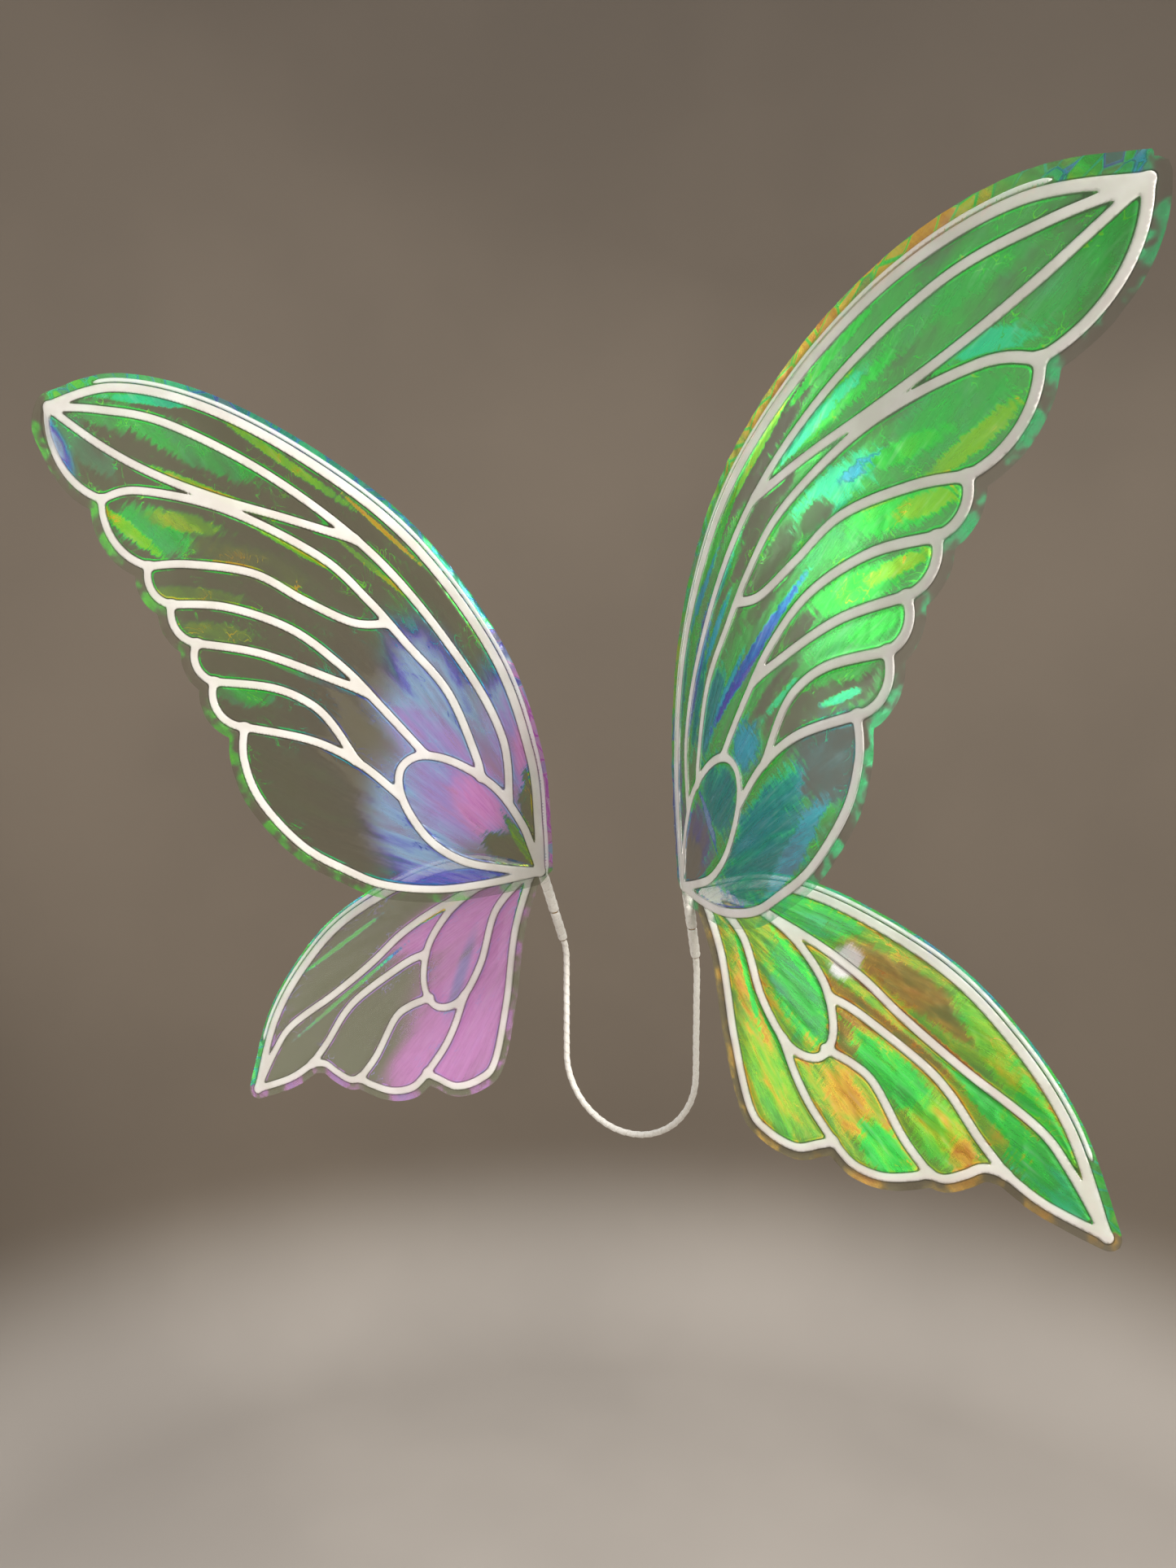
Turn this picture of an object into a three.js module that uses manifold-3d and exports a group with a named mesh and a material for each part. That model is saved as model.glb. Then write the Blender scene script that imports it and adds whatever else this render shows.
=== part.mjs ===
// Fairy wings: two pairs of film wings that plug into a U-shaped wire harness worn inside the
// back of a dress. Millimetres, +Z up. The wearer faces +Y, and +X is the wearer's right hand.
// The origin is the middle of the harness, between its two uprights.
//
// Each wing is cut flat from a paper pattern and then hung on its stem. Pattern coordinates are
// u, from the root towards the tip, and v, towards the trailing edge. The right side is modelled
// and the left side is its mirror image, hung at slightly different angles.

import * as THREE from 'three';
import { mergeVertices } from 'three/addons/utils/BufferGeometryUtils.js';
import Module from 'manifold-3d';

const wasm = await Module();
wasm.setup();

// ---- Driving dimensions -------------------------------------------------------------------

const GAP = 0.3;                    // clearance between pieces that touch
const VEIN_THICKNESS = 1.6;         // white vein frame, cut from sheet
const FILM_THICKNESS = 0.3;
const VEIN_HALF_WIDTH = 3.4;
const LEADING_VEIN_HALF_WIDTH = 4;
const SLEEVE_HALF_WIDTH = 2;        // flat sleeve of an edge wire
const ARC_STEP = 18;                // longest straight side of a curved outline
const SCALLOP_SIDES = 6;
const FORE_MARGIN = 12;             // film beyond the middle of an edge vein
const HIND_MARGIN = 10;
const BOW_RADIUS = 690;             // the forewing is bowed to this radius by its wire
const BOW_DIRECTION = THREE.MathUtils.degToRad(34.4);
const CREASE_PITCH = 50;            // the bow is made of flats this wide
const WIRE_RADIUS = 0.8;
const ROD_RADIUS = 1.6;             // harness rod and stem rods, one stock
const TUBE_WALL = 1.2;
const TAPE_WALL = 1;
const BORE_EASE = 0.1;              // widens an eight-sided bore to clear the rod's corners
const HARNESS_HALF_WIDTH = 67;
const UPRIGHT_TOP = 60;
const UPRIGHT_BOTTOM = -40;
const BEND_RUN = 9;                 // length of the bend between an upright and its stem
const STEM_TOP = new THREE.Vector3(72, -34, 137);

// Distances down the stem from its top, where the wings meet.
const STEM = { tapeTop: 6, tapeEnd: 40, tubeTop: 41, rodEnd: 57, harnessTop: 57.6, tubeEnd: 73 };
const TAPE_INSET = 1;               // bare tube left beyond each end of its tape

// The film ends in a point beyond the wing's tip. Its three corners, from the tip, and how much
// further than the margin the middle one stands.
const POINT_CORNERS = [[-46, -36.8], [0, 1], [-52, 24]];
const POINT_BEYOND_MARGIN = 2;

// An edge wire's bare tail is rooted in its sleeve at these distances along it, and passes
// inside the stem at these distances from the stem's top.
const TAIL_IN_SLEEVE = [8, 2, -2];
const TAIL_IN_STEM = [5, 14, 36];
const TAIL_SLIMMER = 0.05;          // keeps the tail's skin out of the sleeve's own faces
const SLEEVE_SHORT_OF_TIP = 3;      // sides of the leading outline left without a sleeve

// Sides and steps of the round pieces.
const ROUND_SIDES = 8;
const PIN_SIDES = 12;
const TUBE_SIDES = 16;
const TAIL_STEPS = 16;
const HARNESS_STEPS = 48;
const HARNESS_TAPE_STEPS = 44;
const QUARTER_ROUND = 0.5523;       // pull of a Bezier quarter circle, in radii

const WELD = 1e-4;                  // points closer than this are one point
const ON_CREASE = 0.05;             // points closer than this to a crease lie on it
const FLATNESS = 0.01;              // triangles that bend the surface less than this are dropped

// Hanging angles in degrees: sweep turns a wing back from the wearer's back, lean tips it, and
// raise turns it in its own plane. The leading margins were trimmed to different widths.
const SIDES = [
  { name: 'left', mirror: -1, foreRaise: 42.5, hindRaise: -38.5, foreLeadingMargin: 12 },
  { name: 'right', mirror: 1, foreRaise: 47.5, hindRaise: -31.5, foreLeadingMargin: 16 },
];
const FORE_HANG = { sweep: 49, lean: 3.5, root: new THREE.Vector3(-1, -6, 3) };
const HIND_HANG = { sweep: 6, lean: -4, root: new THREE.Vector3(14, 1.5, -3) };

// ---- Materials ----------------------------------------------------------------------------

const finish = (color, roughness, metalness) => (
  new THREE.MeshStandardMaterial({ color, roughness, metalness })
);
const VEIN_WHITE = finish('#e6e2da', 0.55, 0);
const FILM_GREEN = finish('#4fa458', 0.12, 0.35);
const FILM_PINK = finish('#b99bd0', 0.12, 0.35);
const SLEEVE_WHITE = finish('#f0eeea', 0.4, 0);
const ROD_STEEL = finish('#a8a9ab', 0.3, 0.9);
const TUBE_BRASS = finish('#b8965a', 0.35, 0.9);
const TAPE_WHITE = finish('#efece6', 0.85, 0);

// ---- The two patterns ---------------------------------------------------------------------

// A smooth run through hand-placed points.
function run(points) {
  const curve = new THREE.SplineCurve(points.map(([u, v]) => new THREE.Vector2(u, v)));
  const sides = Math.max(3, Math.ceil(curve.getLength() / ARC_STEP));
  return curve.getSpacedPoints(sides);
}

// A scallop: an arc from a to b that stands proud of its chord, towards +v.
function scallop([au, av], [bu, bv], rise) {
  const chord = Math.hypot(bu - au, bv - av);
  const radius = (chord * chord / 4 + rise * rise) / (2 * rise);
  const halfAngle = Math.asin(chord / 2 / radius);
  const across = new THREE.Vector2(bu - au, bv - av).divideScalar(chord);
  const proud = new THREE.Vector2(across.y, -across.x);
  const points = [];
  for (let i = 0; i <= SCALLOP_SIDES; i += 1) {
    const angle = halfAngle * (2 * i / SCALLOP_SIDES - 1);
    points.push(new THREE.Vector2((au + bu) / 2, (av + bv) / 2)
      .addScaledVector(across, radius * Math.sin(angle))
      .addScaledVector(proud, radius * Math.cos(angle) - radius + rise));
  }
  return points;
}

// Forewing: tip, then the notches of its scalloped trailing edge back to the big root lobe.
const FORE_NOTCHES = [[604, 0], [506, 22], [434, 34], [397, 44], [358, 53], [325, 67], [280, 78]];
const FORE_RISES = [17, 13, 9, 9, 9, 12];

const foreLeading = run([[0, 0], [30, -29], [80, -71], [165, -114], [280, -136], [385, -127],
  [485, -99], [560, -56], [604, 0]]);
const foreScallops = FORE_RISES.map((rise, i) => (
  scallop(FORE_NOTCHES[i], FORE_NOTCHES[i + 1], rise)
));
const foreLobe = run([[280, 78], [262, 99], [228, 116], [175, 121], [130, 111], [98, 99],
  [60, 71], [28, 36], [0, 0]]);
const foreInner = [
  run([[68, -30], [110, -66], [180, -90], [290, -106], [400, -96], [500, -67], [560, -32],
    [602, 0]]),
  run([[317, -105], [370, -79], [425, -51], [480, -28], [535, -12], [602, 0]]),
  run([[506, 22], [484, -7], [415, -48], [330, -74], [275, -75], [228, -70], [172, -63], [116, -38],
    [100, -27]]),
  run([[434, 34], [408, 8], [361, -25], [314, -38], [272, -52], [251, -70]]),
  run([[397, 44], [359, 12], [306, -12], [252, -18], [206, -15], [152, -10]]),
  run([[358, 53], [311, 21], [248, -6], [224, -15]]),
  run([[325, 67], [286, 37], [256, 25], [230, 24], [190, 34]]),
  run([[280, 78], [230, 47], [186, 34], [144, 32]]),
];
const foreOval = run([[0, 0], [22, -11], [44, -21], [84, -29], [126, -22], [152, -7], [158, 12],
  [146, 28], [122, 39], [92, 44], [60, 38], [30, 21], [0, 0]]);

// Hindwing: one long leading vein, a wavy trailing edge of four runs, and a loop near the root.
const hindLeading = run([[0, 0], [42, -42], [100, -67], [190, -80], [260, -71], [327, -46],
  [390, 0]]);
const hindTrailing = [
  run([[390, 0], [348, 12], [316, 14]]),
  run([[316, 14], [302, 22], [295, 36], [286, 50], [275, 55]]),
  run([[275, 55], [267, 67], [250, 84], [228, 93], [206, 90]]),
  run([[206, 90], [198, 101], [185, 117], [160, 124], [136, 119], [91, 80], [44, 32], [0, 0]]),
];
const hindInner = [
  run([[6, -5], [45, -20], [100, -30], [148, -33], [195, -29], [250, -28], [312, -30], [345, -21],
    [390, 0]]),
  run([[138, -3], [163, -8], [222, -10], [252, -6], [286, 6], [316, 14]]),
  run([[158, 34], [183, 28], [205, 29], [245, 47], [275, 55]]),
  run([[126, 52], [150, 68], [174, 80], [206, 90]]),
];
const hindLoop = run([[58, -23], [92, -21], [131, -7], [157, 20], [158, 44], [133, 53], [93, 37],
  [50, 6], [6, -3]]);

// ---- Flat solids --------------------------------------------------------------------------

function geometryToSolid(geometry) {
  const bare = geometry.clone();
  bare.deleteAttribute('uv');
  bare.deleteAttribute('normal');
  const merged = mergeVertices(bare, WELD);
  return new wasm.Manifold(new wasm.Mesh({
    numProp: 3,
    vertProperties: new Float32Array(merged.attributes.position.array),
    triVerts: new Uint32Array(merged.index.array),
  }));
}

// A join, or the creases of a bow, leave needless triangles on flat faces, which are dropped.
function solidToGeometry(solid) {
  const mesh = solid.simplify(FLATNESS).getMesh();
  const geometry = new THREE.BufferGeometry();
  geometry.setAttribute('position', new THREE.BufferAttribute(mesh.vertProperties, 3));
  geometry.setIndex(new THREE.BufferAttribute(mesh.triVerts, 1));
  return geometry;
}

function slab(points, bottom, thickness) {
  const shape = new THREE.Shape(points);
  const geometry = new THREE.ExtrudeGeometry(shape, { depth: thickness, bevelEnabled: false });
  return geometry.translate(0, 0, bottom);
}

// The outline of a strip of constant width along a run; ends are round or cut square.
function strip(points, halfWidth, roundEnds = true) {
  const left = [];
  const right = [];
  points.forEach((point, i) => {
    const before = points[Math.max(0, i - 1)];
    const after = points[Math.min(points.length - 1, i + 1)];
    const along = after.clone().sub(before).normalize();
    const across = new THREE.Vector2(-along.y, along.x).multiplyScalar(halfWidth);
    left.push(point.clone().add(across));
    right.push(point.clone().sub(across));
  });
  if (!roundEnds) return [...right, ...left.reverse()];
  const cap = (centre, from) => [1, 2, 3].map((k) => (
    from.clone().rotateAround(centre, k * Math.PI / 4)
  ));
  const last = points.length - 1;
  const farCap = cap(points[last], right[last]);
  const nearCap = cap(points[0], left[0]);
  return [...right, ...farCap, ...left.reverse(), ...nearCap];
}

// The corners of a regular outline.
function ring(radius, sides, centre = new THREE.Vector2()) {
  return [...Array(sides).keys()].map((i) => {
    const angle = 2 * Math.PI * i / sides;
    return new THREE.Vector2(radius * Math.cos(angle), radius * Math.sin(angle)).add(centre);
  });
}

function offsetRun(points, distance) {
  const wide = strip(points, distance, false);
  return wide.slice(0, points.length);
}

function joinSlabs(outlines, bottom, thickness) {
  const solids = outlines.map((outline) => geometryToSolid(slab(outline, bottom, thickness)));
  return solidToGeometry(solids.reduce((whole, piece) => whole.add(piece)));
}

function veinFrame(leading, others) {
  const outlines = [strip(leading, LEADING_VEIN_HALF_WIDTH)];
  others.forEach((points) => outlines.push(strip(points, VEIN_HALF_WIDTH)));
  return joinSlabs(outlines, -VEIN_THICKNESS / 2, VEIN_THICKNESS);
}

// A film sheet covers the whole wing and a margin beyond its edge veins. It is cut square at
// the root and to a point at the tip.
function filmSheet(edges, margins, face) {
  const [leading, ...trailing] = edges;
  const whole = edges.flatMap((points) => points.slice(0, -1));
  const tip = leading.at(-1);
  const beyond = new THREE.Vector2(margins.trailing + POINT_BEYOND_MARGIN, 0);
  const corners = POINT_CORNERS.map(([u, v]) => new THREE.Vector2(tip.x + u, tip.y + v));
  corners[1].add(beyond);
  const outlines = [whole, corners, strip(leading, margins.leading, false)];
  trailing.forEach((points) => outlines.push(strip(points, margins.trailing, false)));
  edges.slice(0, -1).forEach((points) => {
    outlines.push(ring(margins.trailing - 1, ROUND_SIDES, points.at(-1)));
  });
  const inside = VEIN_THICKNESS / 2 + GAP;
  const bottom = face > 0 ? inside : -inside - FILM_THICKNESS;
  return joinSlabs(outlines, bottom, FILM_THICKNESS);
}

// The middle line of an edge wire's flat sleeve, beside the leading vein, from the root edge of
// the film to short of the tip.
function sleeveRun(leading) {
  const offset = LEADING_VEIN_HALF_WIDTH + GAP + SLEEVE_HALF_WIDTH;
  return offsetRun(leading, offset).slice(0, -SLEEVE_SHORT_OF_TIP);
}

// ---- Bowing a flat solid ------------------------------------------------------------------

// How far a pattern point lies along the direction in which the forewing is bowed.
const alongBow = (u, v) => u * Math.cos(BOW_DIRECTION) + v * Math.sin(BOW_DIRECTION);

// Splits every triangle along the creases, so that the flats between them stay flat.
function splitAtCreases(geometry) {
  const position = geometry.attributes.position;
  const points = [];
  for (let i = 0; i < position.count; i += 1) {
    points.push(new THREE.Vector3().fromBufferAttribute(position, i));
  }
  let triangles = [];
  for (let i = 0; i < geometry.index.count; i += 3) {
    triangles.push([0, 1, 2].map((k) => geometry.index.getX(i + k)));
  }
  const reach = (index) => alongBow(points[index].x, points[index].y);
  const reaches = [...points.keys()].map(reach);
  const first = Math.ceil(Math.min(...reaches) / CREASE_PITCH);
  const last = Math.floor(Math.max(...reaches) / CREASE_PITCH);
  for (let crease = first; crease <= last; crease += 1) {
    const level = crease * CREASE_PITCH;
    const made = new Map();
    const sideOf = (index) => {
      const beyond = reach(index) - level;
      return Math.abs(beyond) < ON_CREASE ? 0 : Math.sign(beyond);
    };
    const crossing = (a, b) => {
      const [low, high] = a < b ? [a, b] : [b, a];
      const key = `${low}_${high}`;
      if (!made.has(key)) {
        const part = (level - reach(low)) / (reach(high) - reach(low));
        points.push(points[low].clone().lerp(points[high], part));
        made.set(key, points.length - 1);
      }
      return made.get(key);
    };
    triangles = triangles.flatMap((triangle) => splitTriangle(triangle, sideOf, crossing));
  }
  const split = new THREE.BufferGeometry().setFromPoints(points);
  split.setIndex(triangles.flat());
  return split;
}

function splitTriangle(triangle, sideOf, crossing) {
  const sides = triangle.map(sideOf);
  if (!sides.includes(1) || !sides.includes(-1)) return [triangle];
  const onLine = sides.indexOf(0);
  if (onLine >= 0) {
    const [a, b, c] = [0, 1, 2].map((k) => triangle[(onLine + k) % 3]);
    const middle = crossing(b, c);
    return [[a, b, middle], [a, middle, c]];
  }
  const alone = sides.findIndex((side) => sides.filter((other) => other === side).length === 1);
  const [a, b, c] = [0, 1, 2].map((k) => triangle[(alone + k) % 3]);
  const nearB = crossing(a, b);
  const nearC = crossing(a, c);
  return [[a, nearB, nearC], [nearB, b, c], [nearB, c, nearC]];
}

// Moves a pattern point onto the bow: a polygon of flats round a cylinder.
function bow(point) {
  const reach = alongBow(point.x, point.y);
  const aside = point.y * Math.cos(BOW_DIRECTION) - point.x * Math.sin(BOW_DIRECTION);
  const crease = Math.floor(reach / CREASE_PITCH);
  const part = reach / CREASE_PITCH - crease;
  const mitre = point.z / Math.cos(CREASE_PITCH / BOW_RADIUS / 2);
  const corner = (number) => {
    const angle = number * CREASE_PITCH / BOW_RADIUS;
    const radius = BOW_RADIUS - mitre;
    return new THREE.Vector2(radius * Math.sin(angle), BOW_RADIUS - radius * Math.cos(angle));
  };
  const bent = corner(crease).lerp(corner(crease + 1), part);
  return new THREE.Vector3(
    bent.x * Math.cos(BOW_DIRECTION) - aside * Math.sin(BOW_DIRECTION),
    bent.x * Math.sin(BOW_DIRECTION) + aside * Math.cos(BOW_DIRECTION),
    bent.y,
  );
}

function bowGeometry(geometry) {
  const split = splitAtCreases(geometry);
  const position = split.attributes.position;
  for (let i = 0; i < position.count; i += 1) {
    const moved = bow(new THREE.Vector3().fromBufferAttribute(position, i));
    position.setXYZ(i, moved.x, moved.y, moved.z);
  }
  return solidToGeometry(geometryToSolid(split));
}

// ---- Hanging a wing on its stem -----------------------------------------------------------

// Pattern u, v and thickness become outboard, down and forward before the hanging angles turn
// the wing.
function hangingMatrix(hang, raise) {
  const radians = THREE.MathUtils.degToRad;
  const flat = new THREE.Matrix4().makeRotationX(-Math.PI / 2);
  const turned = new THREE.Matrix4().makeRotationFromEuler(
    new THREE.Euler(radians(hang.lean), -radians(raise), -radians(hang.sweep), 'ZXY'),
  );
  const place = STEM_TOP.clone().add(hang.root);
  return turned.multiply(flat).setPosition(place);
}

// ---- Stem and harness ---------------------------------------------------------------------

// The stem leans back from the upright's bend and splays a little outwards.
const BEND = new THREE.Vector3(HARNESS_HALF_WIDTH, 0, UPRIGHT_TOP);
const DOWN_STEM = BEND.clone().sub(STEM_TOP).normalize();
const downStem = (distance) => STEM_TOP.clone().addScaledVector(DOWN_STEM, distance);

// A turned sleeve on the stem's own axis, between two distances from its top.
function sleeve(top, end, outer, inner) {
  const profile = [[inner, -end], [outer, -end], [outer, -top], [inner, -top], [inner, -end]];
  const corners = profile.map(([r, z]) => new THREE.Vector2(r, z));
  return new THREE.LatheGeometry(corners, TUBE_SIDES).rotateX(Math.PI / 2);
}

function stemPin(top, end, radius) {
  const geometry = new THREE.CylinderGeometry(radius, radius, end - top, PIN_SIDES);
  return geometry.rotateX(Math.PI / 2).translate(0, 0, -(top + end) / 2);
}

function sweepAlong(path, radius, steps, bore = 0) {
  const section = new THREE.Shape(ring(radius, ROUND_SIDES));
  if (bore > 0) section.holes.push(new THREE.Path(ring(bore, ROUND_SIDES)));
  return new THREE.ExtrudeGeometry(section, { extrudePath: path, steps });
}

// The U: straight down each upright, round the bottom, and a small bend into each stem.
function harnessPath(start) {
  const half = HARNESS_HALF_WIDTH;
  const pull = half * QUARTER_ROUND;
  const mirrored = (point, side) => point.clone().multiply(new THREE.Vector3(side, 1, 1));
  const onStem = (side) => mirrored(downStem(start), side);
  const corner = (side) => mirrored(BEND, side);
  const above = (side) => mirrored(BEND.clone().addScaledVector(DOWN_STEM, -BEND_RUN), side);
  const below = (side) => new THREE.Vector3(side * half, 0, UPRIGHT_TOP - BEND_RUN);
  const foot = (side) => new THREE.Vector3(side * half, 0, UPRIGHT_BOTTOM);
  const pulled = (side) => new THREE.Vector3(side * half, 0, UPRIGHT_BOTTOM - pull);
  const flat = (side) => new THREE.Vector3(side * pull, 0, UPRIGHT_BOTTOM - half);
  const base = new THREE.Vector3(0, 0, UPRIGHT_BOTTOM - half);
  const path = new THREE.CurvePath();
  path.add(new THREE.LineCurve3(onStem(-1), above(-1)));
  path.add(new THREE.QuadraticBezierCurve3(above(-1), corner(-1), below(-1)));
  path.add(new THREE.LineCurve3(below(-1), foot(-1)));
  path.add(new THREE.CubicBezierCurve3(foot(-1), pulled(-1), flat(-1), base));
  path.add(new THREE.CubicBezierCurve3(base, flat(1), pulled(1), foot(1)));
  path.add(new THREE.LineCurve3(foot(1), below(1)));
  path.add(new THREE.QuadraticBezierCurve3(below(1), corner(1), above(1)));
  path.add(new THREE.LineCurve3(above(1), onStem(1)));
  return path;
}

// ---- Edge wires ---------------------------------------------------------------------------

// Each wire is flat and sleeved along the wing, and its bare round tail runs down the stem
// inside the tape, beside the stem rod.
function edgeWire(leading, bowed, matrix, tailSide, bends) {
  const middle = sleeveRun(leading);
  const flat = joinSlabs([strip(middle, SLEEVE_HALF_WIDTH)], -WIRE_RADIUS, 2 * WIRE_RADIUS);
  const wingSleeve = (bowed ? bowGeometry(flat) : flat).applyMatrix4(matrix);
  const along = middle[1].clone().sub(middle[0]).normalize();
  const inSleeve = TAIL_IN_SLEEVE.map((distance) => {
    const spot = middle[0].clone().addScaledVector(along, distance);
    const inWing = new THREE.Vector3(spot.x, spot.y, 0);
    return (bowed ? bow(inWing) : inWing).applyMatrix4(matrix);
  });
  const aside = new THREE.Vector3(tailSide * (ROD_RADIUS + GAP + WIRE_RADIUS), 0, 0);
  const inStem = TAIL_IN_STEM.map((distance) => downStem(distance).add(aside));
  const between = bends.map((bend) => STEM_TOP.clone().add(bend));
  const path = new THREE.CatmullRomCurve3([...inSleeve, ...between, ...inStem]);
  const tail = geometryToSolid(sweepAlong(path, WIRE_RADIUS - TAIL_SLIMMER, TAIL_STEPS));
  return solidToGeometry(geometryToSolid(wingSleeve).add(tail));
}

// ---- Assembly -----------------------------------------------------------------------------

function mesh(name, geometry, material) {
  const piece = new THREE.Mesh(geometry, material);
  piece.name = name;
  return piece;
}

const FOREWING = {
  leading: foreLeading,
  others: [...foreScallops, foreLobe, ...foreInner, foreOval],
  edges: [foreLeading, ...foreScallops, foreLobe],
  bowed: true,
  hang: FORE_HANG,
  film: FILM_GREEN,
  tailSide: -1,
  wireBends: [],
};
const HINDWING = {
  leading: hindLeading,
  others: [...hindTrailing, ...hindInner, hindLoop],
  edges: [hindLeading, ...hindTrailing],
  bowed: false,
  hang: HIND_HANG,
  film: FILM_PINK,
  tailSide: 1,
  wireBends: [new THREE.Vector3(9, 1.9, 3.4), new THREE.Vector3(4.4, 1.8, 1.8)],
};

function wing(name, spec, raise, margins) {
  const { leading, others, edges, bowed, hang, film, tailSide, wireBends } = spec;
  const matrix = hangingMatrix(hang, raise);
  const hung = (flat) => (bowed ? bowGeometry(flat) : flat).applyMatrix4(matrix);
  const group = new THREE.Group();
  group.add(mesh(`${name}_vein_frame`, hung(veinFrame(leading, others)), VEIN_WHITE));
  group.add(mesh(`${name}_film_front`, hung(filmSheet(edges, margins, 1)), film));
  group.add(mesh(`${name}_film_back`, hung(filmSheet(edges, margins, -1)), film));
  const wire = edgeWire(leading, bowed, matrix, tailSide, wireBends);
  group.add(mesh(`${name}_edge_wire`, wire, SLEEVE_WHITE));
  return group;
}

function stem(name) {
  const group = new THREE.Group();
  group.position.copy(STEM_TOP);
  group.quaternion.setFromUnitVectors(new THREE.Vector3(0, 0, -1), DOWN_STEM);
  const tapeBore = ROD_RADIUS + 2 * WIRE_RADIUS + 2 * GAP;
  const tubeBore = ROD_RADIUS + GAP;
  const tube = tubeBore + TUBE_WALL;
  const stemTape = sleeve(STEM.tapeTop, STEM.tapeEnd, tapeBore + TAPE_WALL, tapeBore);
  const socketTape = sleeve(STEM.tubeTop + TAPE_INSET, STEM.tubeEnd - TAPE_INSET,
    tube + GAP + TAPE_WALL, tube + GAP);
  group.add(mesh(`${name}_stem_rod`, stemPin(0, STEM.rodEnd, ROD_RADIUS), ROD_STEEL));
  group.add(mesh(`${name}_stem_tape_wrap`, stemTape, TAPE_WHITE));
  group.add(mesh(`${name}_socket_tube`, sleeve(STEM.tubeTop, STEM.tubeEnd, tube, tubeBore),
    TUBE_BRASS));
  group.add(mesh(`${name}_socket_tape_wrap`, socketTape, TAPE_WHITE));
  return group;
}

function harness() {
  const group = new THREE.Group();
  const bore = ROD_RADIUS + GAP;
  const rod = sweepAlong(harnessPath(STEM.harnessTop), ROD_RADIUS, HARNESS_STEPS);
  const tape = sweepAlong(harnessPath(STEM.tubeEnd + 1), bore + TAPE_WALL, HARNESS_TAPE_STEPS,
    bore + BORE_EASE);
  group.add(mesh('harness_rod', rod, ROD_STEEL));
  group.add(mesh('harness_tape_wrap', tape, TAPE_WHITE));
  return group;
}

const fairyWings = new THREE.Group();
SIDES.forEach((side) => {
  const half = new THREE.Group();
  half.scale.x = side.mirror;
  const foreMargins = { leading: side.foreLeadingMargin, trailing: FORE_MARGIN };
  const hindMargins = { leading: HIND_MARGIN, trailing: HIND_MARGIN };
  half.add(wing(`${side.name}_forewing`, FOREWING, side.foreRaise, foreMargins));
  half.add(wing(`${side.name}_hindwing`, HINDWING, side.hindRaise, hindMargins));
  half.add(stem(side.name));
  fairyWings.add(half);
});
fairyWings.add(harness());

export default fairyWings;
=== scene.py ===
"""Fairy wings: white card vein frames laminated between iridescent film sheets, edged with
sleeved wire, on taped stems that turn in a U-shaped rod harness.

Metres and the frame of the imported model. Pattern coordinates are u, from a wing's root to its
tip, v, towards its trailing edge, and n, out of the sheet towards the wearer's front. They are
in millimetres until a wing is hung on its stem.
"""

import math

import bpy
import numpy as np
from mathutils import Matrix, Vector


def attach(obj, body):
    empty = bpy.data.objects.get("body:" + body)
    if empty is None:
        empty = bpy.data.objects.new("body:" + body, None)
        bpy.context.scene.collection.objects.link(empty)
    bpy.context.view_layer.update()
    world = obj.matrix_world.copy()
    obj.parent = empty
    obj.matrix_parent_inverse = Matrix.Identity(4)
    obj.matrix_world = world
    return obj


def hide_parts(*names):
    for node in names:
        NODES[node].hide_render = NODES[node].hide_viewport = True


bl_info = {
    "name": "Fairy Wings",
    "version": (1, 0, 0),
    "blender": (4, 5, 0),
    "location": "View3D > Sidebar > Fairy Wings",
    "description": "Builds film fairy wings around their packed frame",
    "category": "Object",
}

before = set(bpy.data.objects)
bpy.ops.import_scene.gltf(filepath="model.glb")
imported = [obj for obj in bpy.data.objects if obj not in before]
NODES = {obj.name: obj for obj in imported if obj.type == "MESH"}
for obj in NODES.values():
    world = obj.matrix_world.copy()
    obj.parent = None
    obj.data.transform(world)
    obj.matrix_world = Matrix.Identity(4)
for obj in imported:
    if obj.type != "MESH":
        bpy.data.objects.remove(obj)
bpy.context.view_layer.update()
SIDES = ("left", "right")
WINGS = [(side, kind) for side in SIDES for kind in ("forewing", "hindwing")]
MM = 0.001


# ---- Colours -------------------------------------------------------------------------------


def tint(code):
    """A web colour as linear red, green and blue."""
    parts = [int(code[i : i + 2], 16) / 255 for i in (1, 3, 5)]
    return tuple(c / 12.92 if c <= 0.04045 else ((c + 0.055) / 1.055) ** 2.4 for c in parts)


def colour_property(name, description, code):
    return bpy.props.FloatVectorProperty(
        name=name, description=description, subtype="COLOR", size=3, min=0, max=1,
        default=tint(code),
    )


def length_property(name, description, metres):
    return bpy.props.FloatProperty(
        name=name, description=description, default=metres, min=0, precision=5, unit="LENGTH"
    )


# ---- Settings ------------------------------------------------------------------------------


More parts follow.
